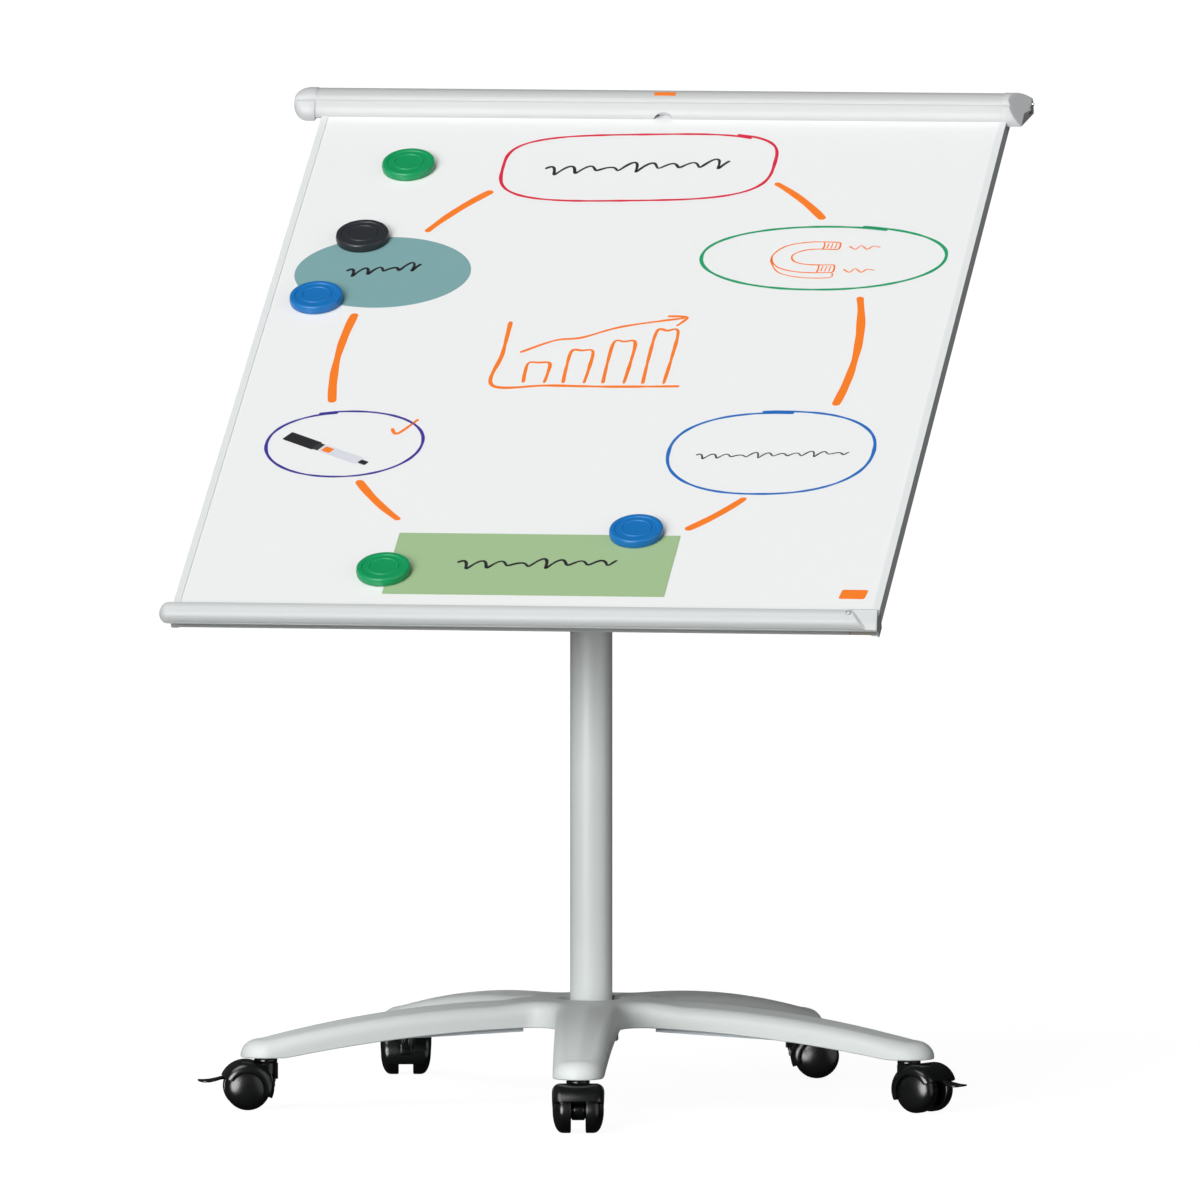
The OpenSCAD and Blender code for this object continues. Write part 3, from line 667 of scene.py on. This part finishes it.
def bar_section(x):
    """The bar's C-shaped outline at x, shorter at the lip where the thumb notch is."""
    lip_v = LIP_V
    if abs(x) < NOTCH_R:
        lip_v = max(lip_v, NOTCH_V + math.sqrt(NOTCH_R ** 2 - x ** 2))
    lip_angle = math.acos((lip_v - BAR_V) / (BAR_R - 0.5))
    outer, inner = [], []
    for k in range(49):
        angle = REAR_ANGLE + (lip_angle - REAR_ANGLE) * k / 48
        reach = bar_reach(angle)
        ray = Vector((0, math.cos(angle), math.sin(angle)))
        outer.append(Vector((x, BAR_V, BAR_W)) + ray * reach)
        inner.append(Vector((x, BAR_V, BAR_W)) + ray * (reach - BAR_WALL))
    tip = (outer[-1] + inner[-1]) / 2 + (outer[-1] - outer[-2]).normalized() * 0.7
    heel = (outer[0] + inner[0]) / 2 - (outer[1] - outer[0]).normalized() * 0.5
    return outer + [tip] + list(reversed(inner)) + [heel]


def clamp_bar():
    """The bar, with closer sections over the thumb notch, and the blank orange label on top of it."""
    notch_half = math.sqrt(NOTCH_R ** 2 - (LIP_V - NOTCH_V) ** 2)
    inside = [notch_half * math.sin(math.pi / 2 * k / 14) for k in range(-14, 15)]
    outside = [-BAR_END, -BAR_END * 0.6, -BAR_END * 0.3, -40]
    spots = outside + [-notch_half - 2, -notch_half - 0.3] + inside
    spots += [notch_half + 0.3, notch_half + 2] + [-x for x in reversed(outside[1:])] + [RIGHT_RIM + 0.5]
    shell = skin([bar_section(x) for x in spots])
    piece("clamp_shell", shell, CLAMP, "clamp", BOARD, ["clamp_bar"])
    patch = []
    for x in [-11 + k for k in range(23)]:
        ring = []
        for reach in (BAR_R + 0.12, BAR_R - 0.2):
            angles = [math.radians(82 + 2 * k) for k in range(9)]
            for angle in angles if reach > BAR_R else reversed(angles):
                ray = Vector((0, math.cos(angle), math.sin(angle)))
                ring.append(Vector((x, BAR_V, BAR_W)) + ray * reach)
        patch.append(ring)
    piece("clamp_label", skin(patch), ORANGE_INK, "clamp", BOARD)


def cap_outline(scale, middle=Vector((BAR_V + 2, BAR_W + 9))):
    """The end cap's (v, w) outline, drawn in to middle by scale: two ridges, cut level with the board."""
    reach = BAR_R + 0.6
    rear = math.asin((-16 - BAR_W) / reach)
    front = math.asin((-4 - BAR_W) / reach)
    outline = []
    for k in range(72):
        angle = rear + (math.pi - front - rear) * k / 71
        groove = math.exp(-((angle - GROOVE_ANGLE) / math.radians(6)) ** 2)
        point = Vector((BAR_V, BAR_W)) + (reach - 1.6 * groove) * unit(angle)
        outline.append(middle.lerp(point, scale))
    return outline


def clamp_cap_left():
    """The left cap: a rim over the bar, then a blunt cone with its tip beside the bar's groove."""
    rim = BAR_END + 2
    apex = Vector((BAR_V, BAR_W)) + BAR_R * 0.84 * unit(GROOVE_ANGLE)
    stations = [(BAR_END - 8, 0.86), (BAR_END - 8, 0.98), (BAR_END - 7.6, 0.995)]
    stations += [(rim - 0.3, 1), (rim + 0.3, 0.98)]
    for k in range(1, 13):
        share = k / 12
        x = rim + (CAP_END - rim) * math.sin(math.pi / 2 * share)
        stations.append((x, 0.98 - 0.86 * share ** 1.7))
    rings = [[Vector((-x, v, w)) for v, w in cap_outline(scale, apex)] for x, scale in stations]
    piece("clamp_end_left", skin(rings), CAP, "clamp", BOARD, ["clamp_cap_left"])


def clamp_cap_right():
    """The right cap: a rim, then a flat face that slants back to a short upright end, and two dark strips on that
    end that are painted shade for its slot openings.
    """
    tip = CAP_END - 8

    def face(v, w):
        """How far right the cap reaches: more up the board, less out of its face."""
        return min(BAR_END + 2.344 + 0.235 * (v - BAR_V) - 0.887 * w, tip)

    rings = [[Vector((x, v, w)) for v, w in cap_outline(scale)]
             for x, scale in ((RIGHT_RIM, 0.86), (RIGHT_RIM, 0.985), (RIGHT_RIM + 0.4, 1))]
    edge = [(0.5, 1), (0.12, 0.994), (0, 0.975)]
    for back, scale in edge + [(0, 0.85 - 0.15 * k) for k in range(6)]:
        rings.append([Vector((face(v, w) - back, v, w)) for v, w in cap_outline(scale)])
    piece("clamp_end_right", skin(rings), CAP, "clamp", BOARD, ["clamp_cap_right"],
          sharp=25)
    # Two dark strips on the cap's end are painted shade that stands in for the dark inside its slot openings.
    slot_shades = [box((tip - 3, v, w - 0.5), (tip + 0.2, v + 8, w + 0.5), 0.3)
             for v, w in ((BAR_V + 10, -1.5), (BAR_V + 5, -5.5))]
    piece("clamp_slot_shade_right", joined(*slot_shades), DARK, "clamp", BOARD)


# ---- pen tray ----

TRAY_LOW, TRAY_HIGH = local_box("pen_tray", BOARD)
TRAY_V = -502.0
TRAY_R = TRAY_V - TRAY_LOW.y
TRAY_WALL = 1.8
TRAY_BACK = TRAY_LOW.z


def tray_round(x, reach, steps=24):
    """The tray's quarter round at x, from its lip to its lower edge."""
    return [Vector((x, TRAY_V + reach * math.cos(a), reach * math.sin(a)))
            for a in [math.pi / 2 + math.pi / 2 * k / steps for k in range(steps + 1)]]


def tray_foot(x, reach):
    """The lower edge at x: a step, a pale lip that stands proud, and the underside back to the board."""
    low = TRAY_V - reach
    outline = ((0.9, -0.3), (0.9, -0.7), (-0.5, -0.9), (-0.5, -1.8), (0.6, -2.1))
    return [Vector((x, low + rise, w)) for rise, w in outline]


def pen_tray():
    """The gutter: a thin round front with a rolled lip, a foot, and a back against the board."""
    outer = tray_round(0, TRAY_R)
    inner = tray_round(0, TRAY_R - TRAY_WALL)
    lip = [Vector((0, TRAY_V + 1.0 * math.sin(a), TRAY_R - TRAY_WALL / 2 - 1.0 * math.cos(a)))
           for a in [math.pi * k / 8 for k in range(1, 8)]]
    back = [Vector((0, v, w)) for v, w in
            ((TRAY_V - 0.4, -2.1), (TRAY_V, -2.5), (TRAY_V, TRAY_BACK + 0.4), (TRAY_V + 0.4, TRAY_BACK),
             (TRAY_V + 1.9, TRAY_BACK), (TRAY_V + 1.9, -0.05), (TRAY_V + 0.5, 0))]
    section = outer + tray_foot(0, TRAY_R) + back + list(reversed(inner)) + lip
    spots = [TRAY_LOW.x, TRAY_LOW.x / 2, 0, TRAY_HIGH.x / 2, TRAY_HIGH.x]
    shape = skin([[p + Vector((x, 0, 0)) for p in section] for x in spots])
    piece("tray_gutter", shape, TRAY, "board", BOARD, ["pen_tray"])


def tray_end_left():
    """The bullet-shaped left end: its round draws in towards a blunt tip."""
    low, high = local_box("tray_cap_left", BOARD)
    rings = []
    for k in range(17):
        share = math.sin(math.pi / 2 * k / 16)
        reach = TRAY_R * max(1 - share ** 2.2, 0.002) ** 0.6
        x = high.x + 0.05 + (low.x - high.x - 0.05) * share
        middle = Vector((x, TRAY_V - (TRAY_R - reach) * 0.45, (TRAY_R - reach) * 0.35))
        ring = [middle + Vector((0, p.y - TRAY_V, p.z)) for p in tray_round(x, reach)]
        shrink = reach / TRAY_R
        ring += [middle + Vector((0, p.y - TRAY_V, p.z)) * shrink for p in tray_foot(0, TRAY_R)]
        ring.append(middle + Vector((0, 0.3, -TRAY_WALL)) * shrink)
        rings.append(ring)
    piece("tray_end_left", skin(rings), TRAY, "board", BOARD, ["tray_cap_left"])


def tray_end_right():
    """The right end: a flat facet cuts the round behind a slanting crease, with a screw at its top."""
    low, high = local_box("tray_cap_right", BOARD)
    start, end = low.x, high.x
    reach = TRAY_R + 0.2
    rings = []
    spots = [start] + [start + (end - start - 0.8) * k / 24 for k in range(1, 25)] + [end - 0.25, end]
    for x in spots:
        edge = 0.5 if x == end else 0.12 if x == end - 0.25 else 0
        ring = []
        for k in range(25):
            share = k / 24
            angle = math.pi / 2 * (1 + share)
            on_round = Vector((x, TRAY_V + reach * math.cos(angle), reach * math.sin(angle)))
            on_flat = Vector((x, TRAY_V, reach)).lerp(Vector((x, TRAY_V - reach, 0)), share)
            crease = start + 3 + 15 * share
            place = on_round.lerp(on_flat, 0.8 * blend(crease - 0.8, crease + 2.2, x))
            ring.append(place + Vector((0, edge, -edge)))
        ring += [Vector((x, p.y + edge, p.z)) for p in tray_foot(0, TRAY_R)]
        heel = TRAY_V + 1.9 - edge
        ring += [Vector((x, heel, -2.1)), Vector((x, heel, reach - 0.6 - edge))]
        rings.append(ring)
    cheek = box((high.x - 1.9, TRAY_V - 3.5, low.z), (high.x + 0.1, -487, 5.5), 0.5)
    piece("tray_end_right", joined(skin(rings), cheek), TRAY, "board", BOARD,
          ["tray_cap_right"])
    head = lathe(rounded([(0, 0, 0), (2.9, 0, 0.2), (2.9, 1.1, 0.3),
                          (2.1, 1.2, 0.2), (1.8, 0.4, 0), (0, 0.4, 0)], 3), 32)
    spot = Matrix.Translation((start + 1.5, TRAY_V - 4.2, reach - 1.2))
    tilt = Matrix.Rotation(math.radians(18), 4, "X")
    piece("tray_screw", moved(head, spot @ tilt), STEEL, "board", BOARD)


# ---- magnets and notes ----


def magnet(x, v, low):
    """A round magnet: a soft-edged disc with a raised blank ring."""
    outline = rounded([(0, 0.1, 0), (26.6, 0.1, 0.4), (27, 4, 0), (26.2, 8, 1.6),
                       (21.5, 8, 0.6), (20.7, 7.2, 0.6), (15.6, 7.2, 0.5), (15, 7.9, 0.4),
                       (14.2, 7.9, 0.4), (13.6, 7.2, 0.5), (0, 7.2, 0)], 4)
    return moved(lathe(outline, 96), Matrix.Translation((x, v, low)))


def magnets():
    """The five magnets: one straight on the board, four on a corner of a note."""
    lift = 0.4
    green = joined(magnet(-245, 361, 0.05), magnet(-150, -420, lift))
    blue = joined(magnet(-298, 98, lift), magnet(90, -343, lift))
    black = magnet(-270, 219, lift)
    piece("magnet_top_green", green, GREEN_MAGNET, "board", BOARD, ["magnets_green"])
    piece("magnet_pair_blue", blue, BLUE_MAGNET, "board", BOARD, ["magnets_blue"])
    piece("magnet_one_black", black, BLACK_MAGNET, "board", BOARD, ["magnet_black"])


def sheet_on_board(outline, lift=0.05, thick=0.25):
    """A flat sheet just off the board."""
    low = [Vector((p.x, p.y, lift)) for p in outline]
    high = [Vector((p.x, p.y, lift + thick)) for p in outline]
    return skin([low, high])


def notes():
    """The teal oval and the green oblong, flat on the board."""
    oval = [Vector((-240 + 89 * math.cos(a), 155 + 69 * math.sin(a)))
            for a in [math.tau * k / 128 for k in range(128)]]
    piece("paper_oval", sheet_on_board(oval), TEAL_PAPER, "board", BOARD, ["note_teal"])
    card = rounded([(-146, -459.5, 1), (134, -459.5, 1), (134, -344.5, 1), (-146, -344.5, 1)], 3)
    piece("paper_card", sheet_on_board(card), GREEN_PAPER, "board", BOARD, ["note_green"])


# ---- marker drawings ----

# How thick the ink lies.
INK = 0.06


def smooth_path(points, closed=False, steps=10):
    """A Catmull-Rom curve through (x, v) points."""
    points = [Vector(p) for p in points]
    count = len(points)
    path = []
    for i in range(count if closed else count - 1):
        if closed:
            a, b, c, d = (points[(i + k - 1) % count] for k in range(4))
        else:
            a, b, c, d = (points[min(max(i + k - 1, 0), count - 1)] for k in range(4))
        for k in range(steps):
            t = k / steps
            path.append(0.5 * (2 * b + (c - a) * t + (2 * a - 5 * b + 4 * c - d) * t ** 2
                               + (3 * b - a - 3 * c + d) * t ** 3))
    if not closed:
        path.append(points[-1])
    return path


def stroke(path, width, lift=0.0, closed=False):
    """A thin raised ribbon of ink along a path, round at its ends and a little uneven in width."""
    base = lift + 0.02
    lengths = [0.0]
    for a, b in zip(path, path[1:]):
        lengths.append(lengths[-1] + (b - a).length)
    whole = lengths[-1]
    rings = []
    for i, here in enumerate(path):
        before = path[i - 1] if i or closed else here
        after = path[(i + 1) % len(path)] if i < len(path) - 1 or closed else here
        ahead = (after - before).normalized()
        side = Vector((-ahead.y, ahead.x))
        run = lengths[i] / width
        half = width / 2 * (1 + 0.12 * math.sin(run / 2.3) + 0.06 * math.sin(run))
        if not closed:
            near = min(lengths[i], whole - lengths[i]) / (width / 2)
            half *= math.sqrt(max(1 - (1 - min(near, 1)) ** 2, 0.02))
        rings.append([(*(here + side * half), base), (*(here + side * half), base + INK),
                      (*(here - side * half), base + INK), (*(here - side * half), base)])
    return skin([[Vector(p) for p in ring] for ring in rings], close=closed)


def dense(path, gap=1.5):
    """The path with points no further apart than gap near its ends, so that its ends can be round."""
    out = [path[0]]
    for a, b in zip(path, path[1:]):
        count = max(1, math.ceil((b - a).length / gap))
        out += [a.lerp(b, k / count) for k in range(1, count + 1)]
    return out


def line(points, width, lift=0.0, gap=1.5):
    return stroke(dense(smooth_path(points), gap), width, lift)


def hand_oval(middle, reach, power=2.0, tilt=0.0, start=50, overlap=14, drift=0.04):
    """A hand-drawn oval whose end runs a little past its start and beside it."""
    path = []
    for k in range(181):
        share = k / 180
        angle = math.radians(start + (360 + overlap) * share)
        grow = 1 + drift * (share - 0.5) + 0.008 * math.sin(3 * angle)
        x = math.copysign(abs(math.cos(angle)) ** (2 / power), math.cos(angle)) * reach[0] * grow
        v = math.copysign(abs(math.sin(angle)) ** (2 / power), math.sin(angle)) * reach[1] * grow
        path.append(Vector((middle[0] + x, middle[1] + v + x * math.tan(math.radians(tilt)))))
    return path


def squiggle(start, end, height, waves, width, lift=0.0):
    """A wavy line where a word would be: its waves vary in height, and it isn't any letter."""
    start, end = Vector(start), Vector(end)
    path = []
    count = waves * 16
    for k in range(count + 1):
        share = k / count
        wave = share * waves
        swing = height * (0.55 + 0.3 * math.sin(wave * 1.7) + 0.15 * math.cos(wave * 2.9))
        place = start.lerp(end, share)
        path.append(place + Vector((0.35 * swing * math.sin(wave * math.tau),
                                    swing * math.sin(wave * math.tau + 0.6))))
    return stroke(dense(path), width, lift)


def ink(name, shape, material):
    """A piece of ink or a label on the board's face."""
    piece(name, shape, material, "board", BOARD)


def drawings():
    """Everything drawn in ink: six arcs of one ring, a chart, a tick, the frames and the wavy words."""
    ring_x, ring_v = 260, 392
    arcs = []
    for first, last in ((42.8, 59.5), (126, 143.2), (169, 194.5),
                        (218.8, 234.8), (-58.2, -43.7), (-13.9, 17.3)):
        path = [Vector((ring_x * math.cos(a), ring_v * math.sin(a)))
                for a in [math.radians(first + (last - first) * k / 24) for k in range(25)]]
        arcs.append(stroke(dense(path), 8))
    chart = [line([(-96, 62), (-95, 0), (-96, -62), (-40, -61), (20, -62), (92, -60)], 4.2)]
    for x, top in ((-66, -18), (-26, 6), (14, 24), (54, 46)):
        chart.append(line([(x, -56), (x - 1, (top - 56) / 2), (x, top), (x + 10, top + 1), (x + 21, top),
                           (x + 22, (top - 56) / 2), (x + 21, -56)], 3.4))
    chart.append(line([(-78, 2), (-46, 26), (-20, 32), (18, 54), (78, 72)], 3.4))
    chart.append(line([(60, 75), (80, 73), (72, 56)], 3.4))
    tick = [line([(-184, -146), (-177, -156), (-160, -128)], 3.4)]
    ink("ink_orange_marks", joined(*arcs, *chart, *tick, *horseshoe()), ORANGE_INK)
    ink("ink_red_frame", stroke(dense(hand_oval((-13, 367), (137, 66), 3.4, 2.4, 46)), 3.4), RED_INK)
    ink("ink_green_frame", stroke(dense(hand_oval((200, 192), (123, 62), 2.1, 0.6, 62)), 3.6), GREEN_INK)
    ink("ink_blue_frame", stroke(dense(hand_oval((200, -185), (102, 78), 2.3, 1.5, 84)), 3.4), BLUE_INK)
    ink("ink_indigo_frame", stroke(dense(hand_oval((-228, -177), (78, 62), 2.1, 1, 100)), 3.2), INDIGO_INK)
    on_note = 0.31
    words = [squiggle((-106, 357), (80, 376), 11, 9, 3.0),
             squiggle((127, -194), (279, -184), 6, 11, 1.8),
             squiggle((-277, 152), (-203, 168), 10, 5, 3.0, on_note),
             squiggle((-80, -404), (78, -396), 10, 8, 3.0, on_note)]
    ink("ink_black_marks", joined(*words), BLACK_INK)


def horseshoe():
    """A sketch of a horseshoe magnet with two pull marks."""
    parts = [
        line([(214, 222), (184, 222), (160, 213), (149, 192), (158, 172), (182, 163), (214, 163)], 1.8),
        line([(214, 208), (188, 208), (173, 201), (169, 192), (174, 183), (188, 178), (214, 178)], 1.8),
        line([(149, 190), (150, 181), (160, 162), (183, 153), (212, 153), (214, 162)], 1.6),
    ]
    for low, high in ((208, 222), (163, 178)):
        parts.append(line([(214, low), (215, (low + high) / 2), (214, high)], 1.8))
        parts.append(line([(198, low), (199, (low + high) / 2), (198, high)], 1.6))
        parts += [line([(x, low + 2), (x + 1, high - 2)], 1.2) for x in (202, 206, 210)]
    for v in (212, 167):
        parts.append(line([(224, v + 3), (231, v - 3), (236, v + 4),
                           (243, v - 3), (248, v + 3), (256, v + 1)], 1.6))
    return parts


def marker_sketch():
    """A flat picture of a marker pen in four pieces of ink."""
    start, end = Vector((-287, -162)), Vector((-199, -214))
    along = (end - start).normalized()
    side = Vector((-along.y, along.x))
    length = (end - start).length

    def band(first, last, half, tilt=0.0):
        corners = [(first * length, -half, 1.5), (last * length, -half, 1.5),
                   (last * length, half, 1.5), (first * length, half, 1.5)]
        return [start + along * p.x + side * (p.y + tilt) for p in rounded(corners, 4)]

    parts = (("cap", band(0, 0.38, 8), BLACK_INK), ("collar", band(0.36, 0.44, 6.5), DARK),
             ("barrel", band(0.43, 0.92, 7), WHITE_INK), ("label", band(0.46, 0.56, 4.5), ORANGE_INK),
             ("tip", band(0.91, 1.0, 3.6), BLACK_INK))
    for level, (name, outline, material) in enumerate(parts):
        ink(f"pen_picture_{name}", sheet_on_board(outline, 0.02, 0.06 + 0.02 * level), material)


def corner_label():
    """A blank orange label on the board's lower right corner."""
    outline = rounded([(306, -459, 2.5), (332, -459, 2.5), (334, -442, 2.5), (308, -442, 2.5)], 5)
    ink("corner_label", sheet_on_board(outline, 0.02, 0.12), ORANGE_INK)


# ---- light, floor and camera ----


def floor():
    """A glowing white floor that takes only the faintest shadow and lights nothing."""
    mesh = bpy.data.meshes.new("floor")
    points = [(150 * math.cos(a), 150 * math.sin(a), 0) for a in [math.tau * k / 64 for k in range(64)]]
    mesh.from_pydata(points, [], [tuple(range(64))])
    material = surface("floor", (0.12, 0.12, 0.12), 0.9)
    shader = material.node_tree.nodes["Principled BSDF"]
    shader.inputs["Specular IOR Level"].default_value = 0
    shader.inputs["Emission Color"].default_value = (1, 1, 1, 1)
    shader.inputs["Emission Strength"].default_value = 0.94
    mesh.materials.append(material)
    obj = bpy.data.objects.new("floor", mesh)
    bpy.context.scene.collection.objects.link(obj)
    obj.visible_diffuse = False
    obj.visible_glossy = False


def sky():
    """A studio sky: brightest in front and to the left, dim behind, white at the horizon."""
    world = bpy.data.worlds.new("studio")
    bpy.context.scene.world = world
    world.use_nodes = True
    nodes, links = world.node_tree.nodes, world.node_tree.links
    where = nodes.new("ShaderNodeTexCoord")
    facing = nodes.new("ShaderNodeVectorMath")
    facing.operation = "DOT_PRODUCT"
    facing.inputs[1].default_value = Vector((-0.42, -0.62, 0.66)).normalized()
    links.new(where.outputs["Generated"], facing.inputs[0])
    glow = nodes.new("ShaderNodeMapRange")
    glow.interpolation_type = "SMOOTHSTEP"
    glow.inputs["From Min"].default_value = -0.6
    glow.inputs["From Max"].default_value = 0.95
    glow.inputs["To Min"].default_value = 0.42
    glow.inputs["To Max"].default_value = 3.1
    links.new(facing.outputs["Value"], glow.inputs["Value"])
    split = nodes.new("ShaderNodeSeparateXYZ")
    links.new(where.outputs["Generated"], split.inputs["Vector"])
    tall = nodes.new("ShaderNodeMath")
    tall.operation = "ABSOLUTE"
    links.new(split.outputs["Z"], tall.inputs[0])
    band = nodes.new("ShaderNodeMath")
    band.operation = "LESS_THAN"
    band.inputs[1].default_value = 0.08
    links.new(tall.outputs["Value"], band.inputs[0])
    horizon = nodes.new("ShaderNodeMix")
    horizon.inputs["B"].default_value = 1.0
    links.new(band.outputs["Value"], horizon.inputs["Factor"])
    links.new(glow.outputs["Result"], horizon.inputs["A"])
    links.new(horizon.outputs["Result"], nodes["Background"].inputs["Strength"])


def sun(name, towards, strength, spread, glossy=True):
    """A soft lamp far away, shining from the direction towards, with or without highlights."""
    data = bpy.data.lights.new(name, "SUN")
    data.energy = strength
    data.angle = math.radians(spread)
    obj = bpy.data.objects.new(name, data)
    obj.rotation_mode = "QUATERNION"
    obj.rotation_quaternion = Vector(towards).normalized().to_track_quat("Z", "Y")
    obj.visible_glossy = glossy
    bpy.context.scene.collection.objects.link(obj)


def camera():
    """A long lens far away, a little to the right of the easel and a little above its middle."""
    azimuth, elevation, distance = math.radians(9.4), math.radians(4), 24.7
    aim = Vector((0.0088, 0, 0.4989))
    back = Vector((math.sin(azimuth) * math.cos(elevation), -math.cos(azimuth) * math.cos(elevation),
                   math.sin(elevation)))
    data = bpy.data.cameras.new("camera")
    data.lens = 746.5
    data.clip_start, data.clip_end = 0.1, 400
    obj = bpy.data.objects.new("camera", data)
    obj.location = aim + back * distance
    obj.rotation_mode = "QUATERNION"
    obj.rotation_quaternion = back.to_track_quat("Z", "Y")
    bpy.context.scene.collection.objects.link(obj)
    bpy.context.scene.camera = obj


# ---- assembly ----

for node, material in SHOWN.items():
    finish_node(node, material)
star_base()
column()
collar()
tilt_parts()
lock_lever()
castors()
clamp_bar()
clamp_cap_left()
clamp_cap_right()
pen_tray()
tray_end_left()
tray_end_right()
magnets()
notes()
drawings()
marker_sketch()
corner_label()
floor()
sky()
sun("low_key", (-0.32, -0.94, 0.08), 4.0, 35)
sun("high_key", (-0.3, -0.5, 0.8), 1.6, 40)
sun("fill", (0.9, -0.4, 0.2), 0.8, 60)
sun("back_fill", (-0.16, 0.98, 0.05), 2.6, 20, glossy=False)
camera()
bpy.context.scene.view_settings.view_transform = "Standard"
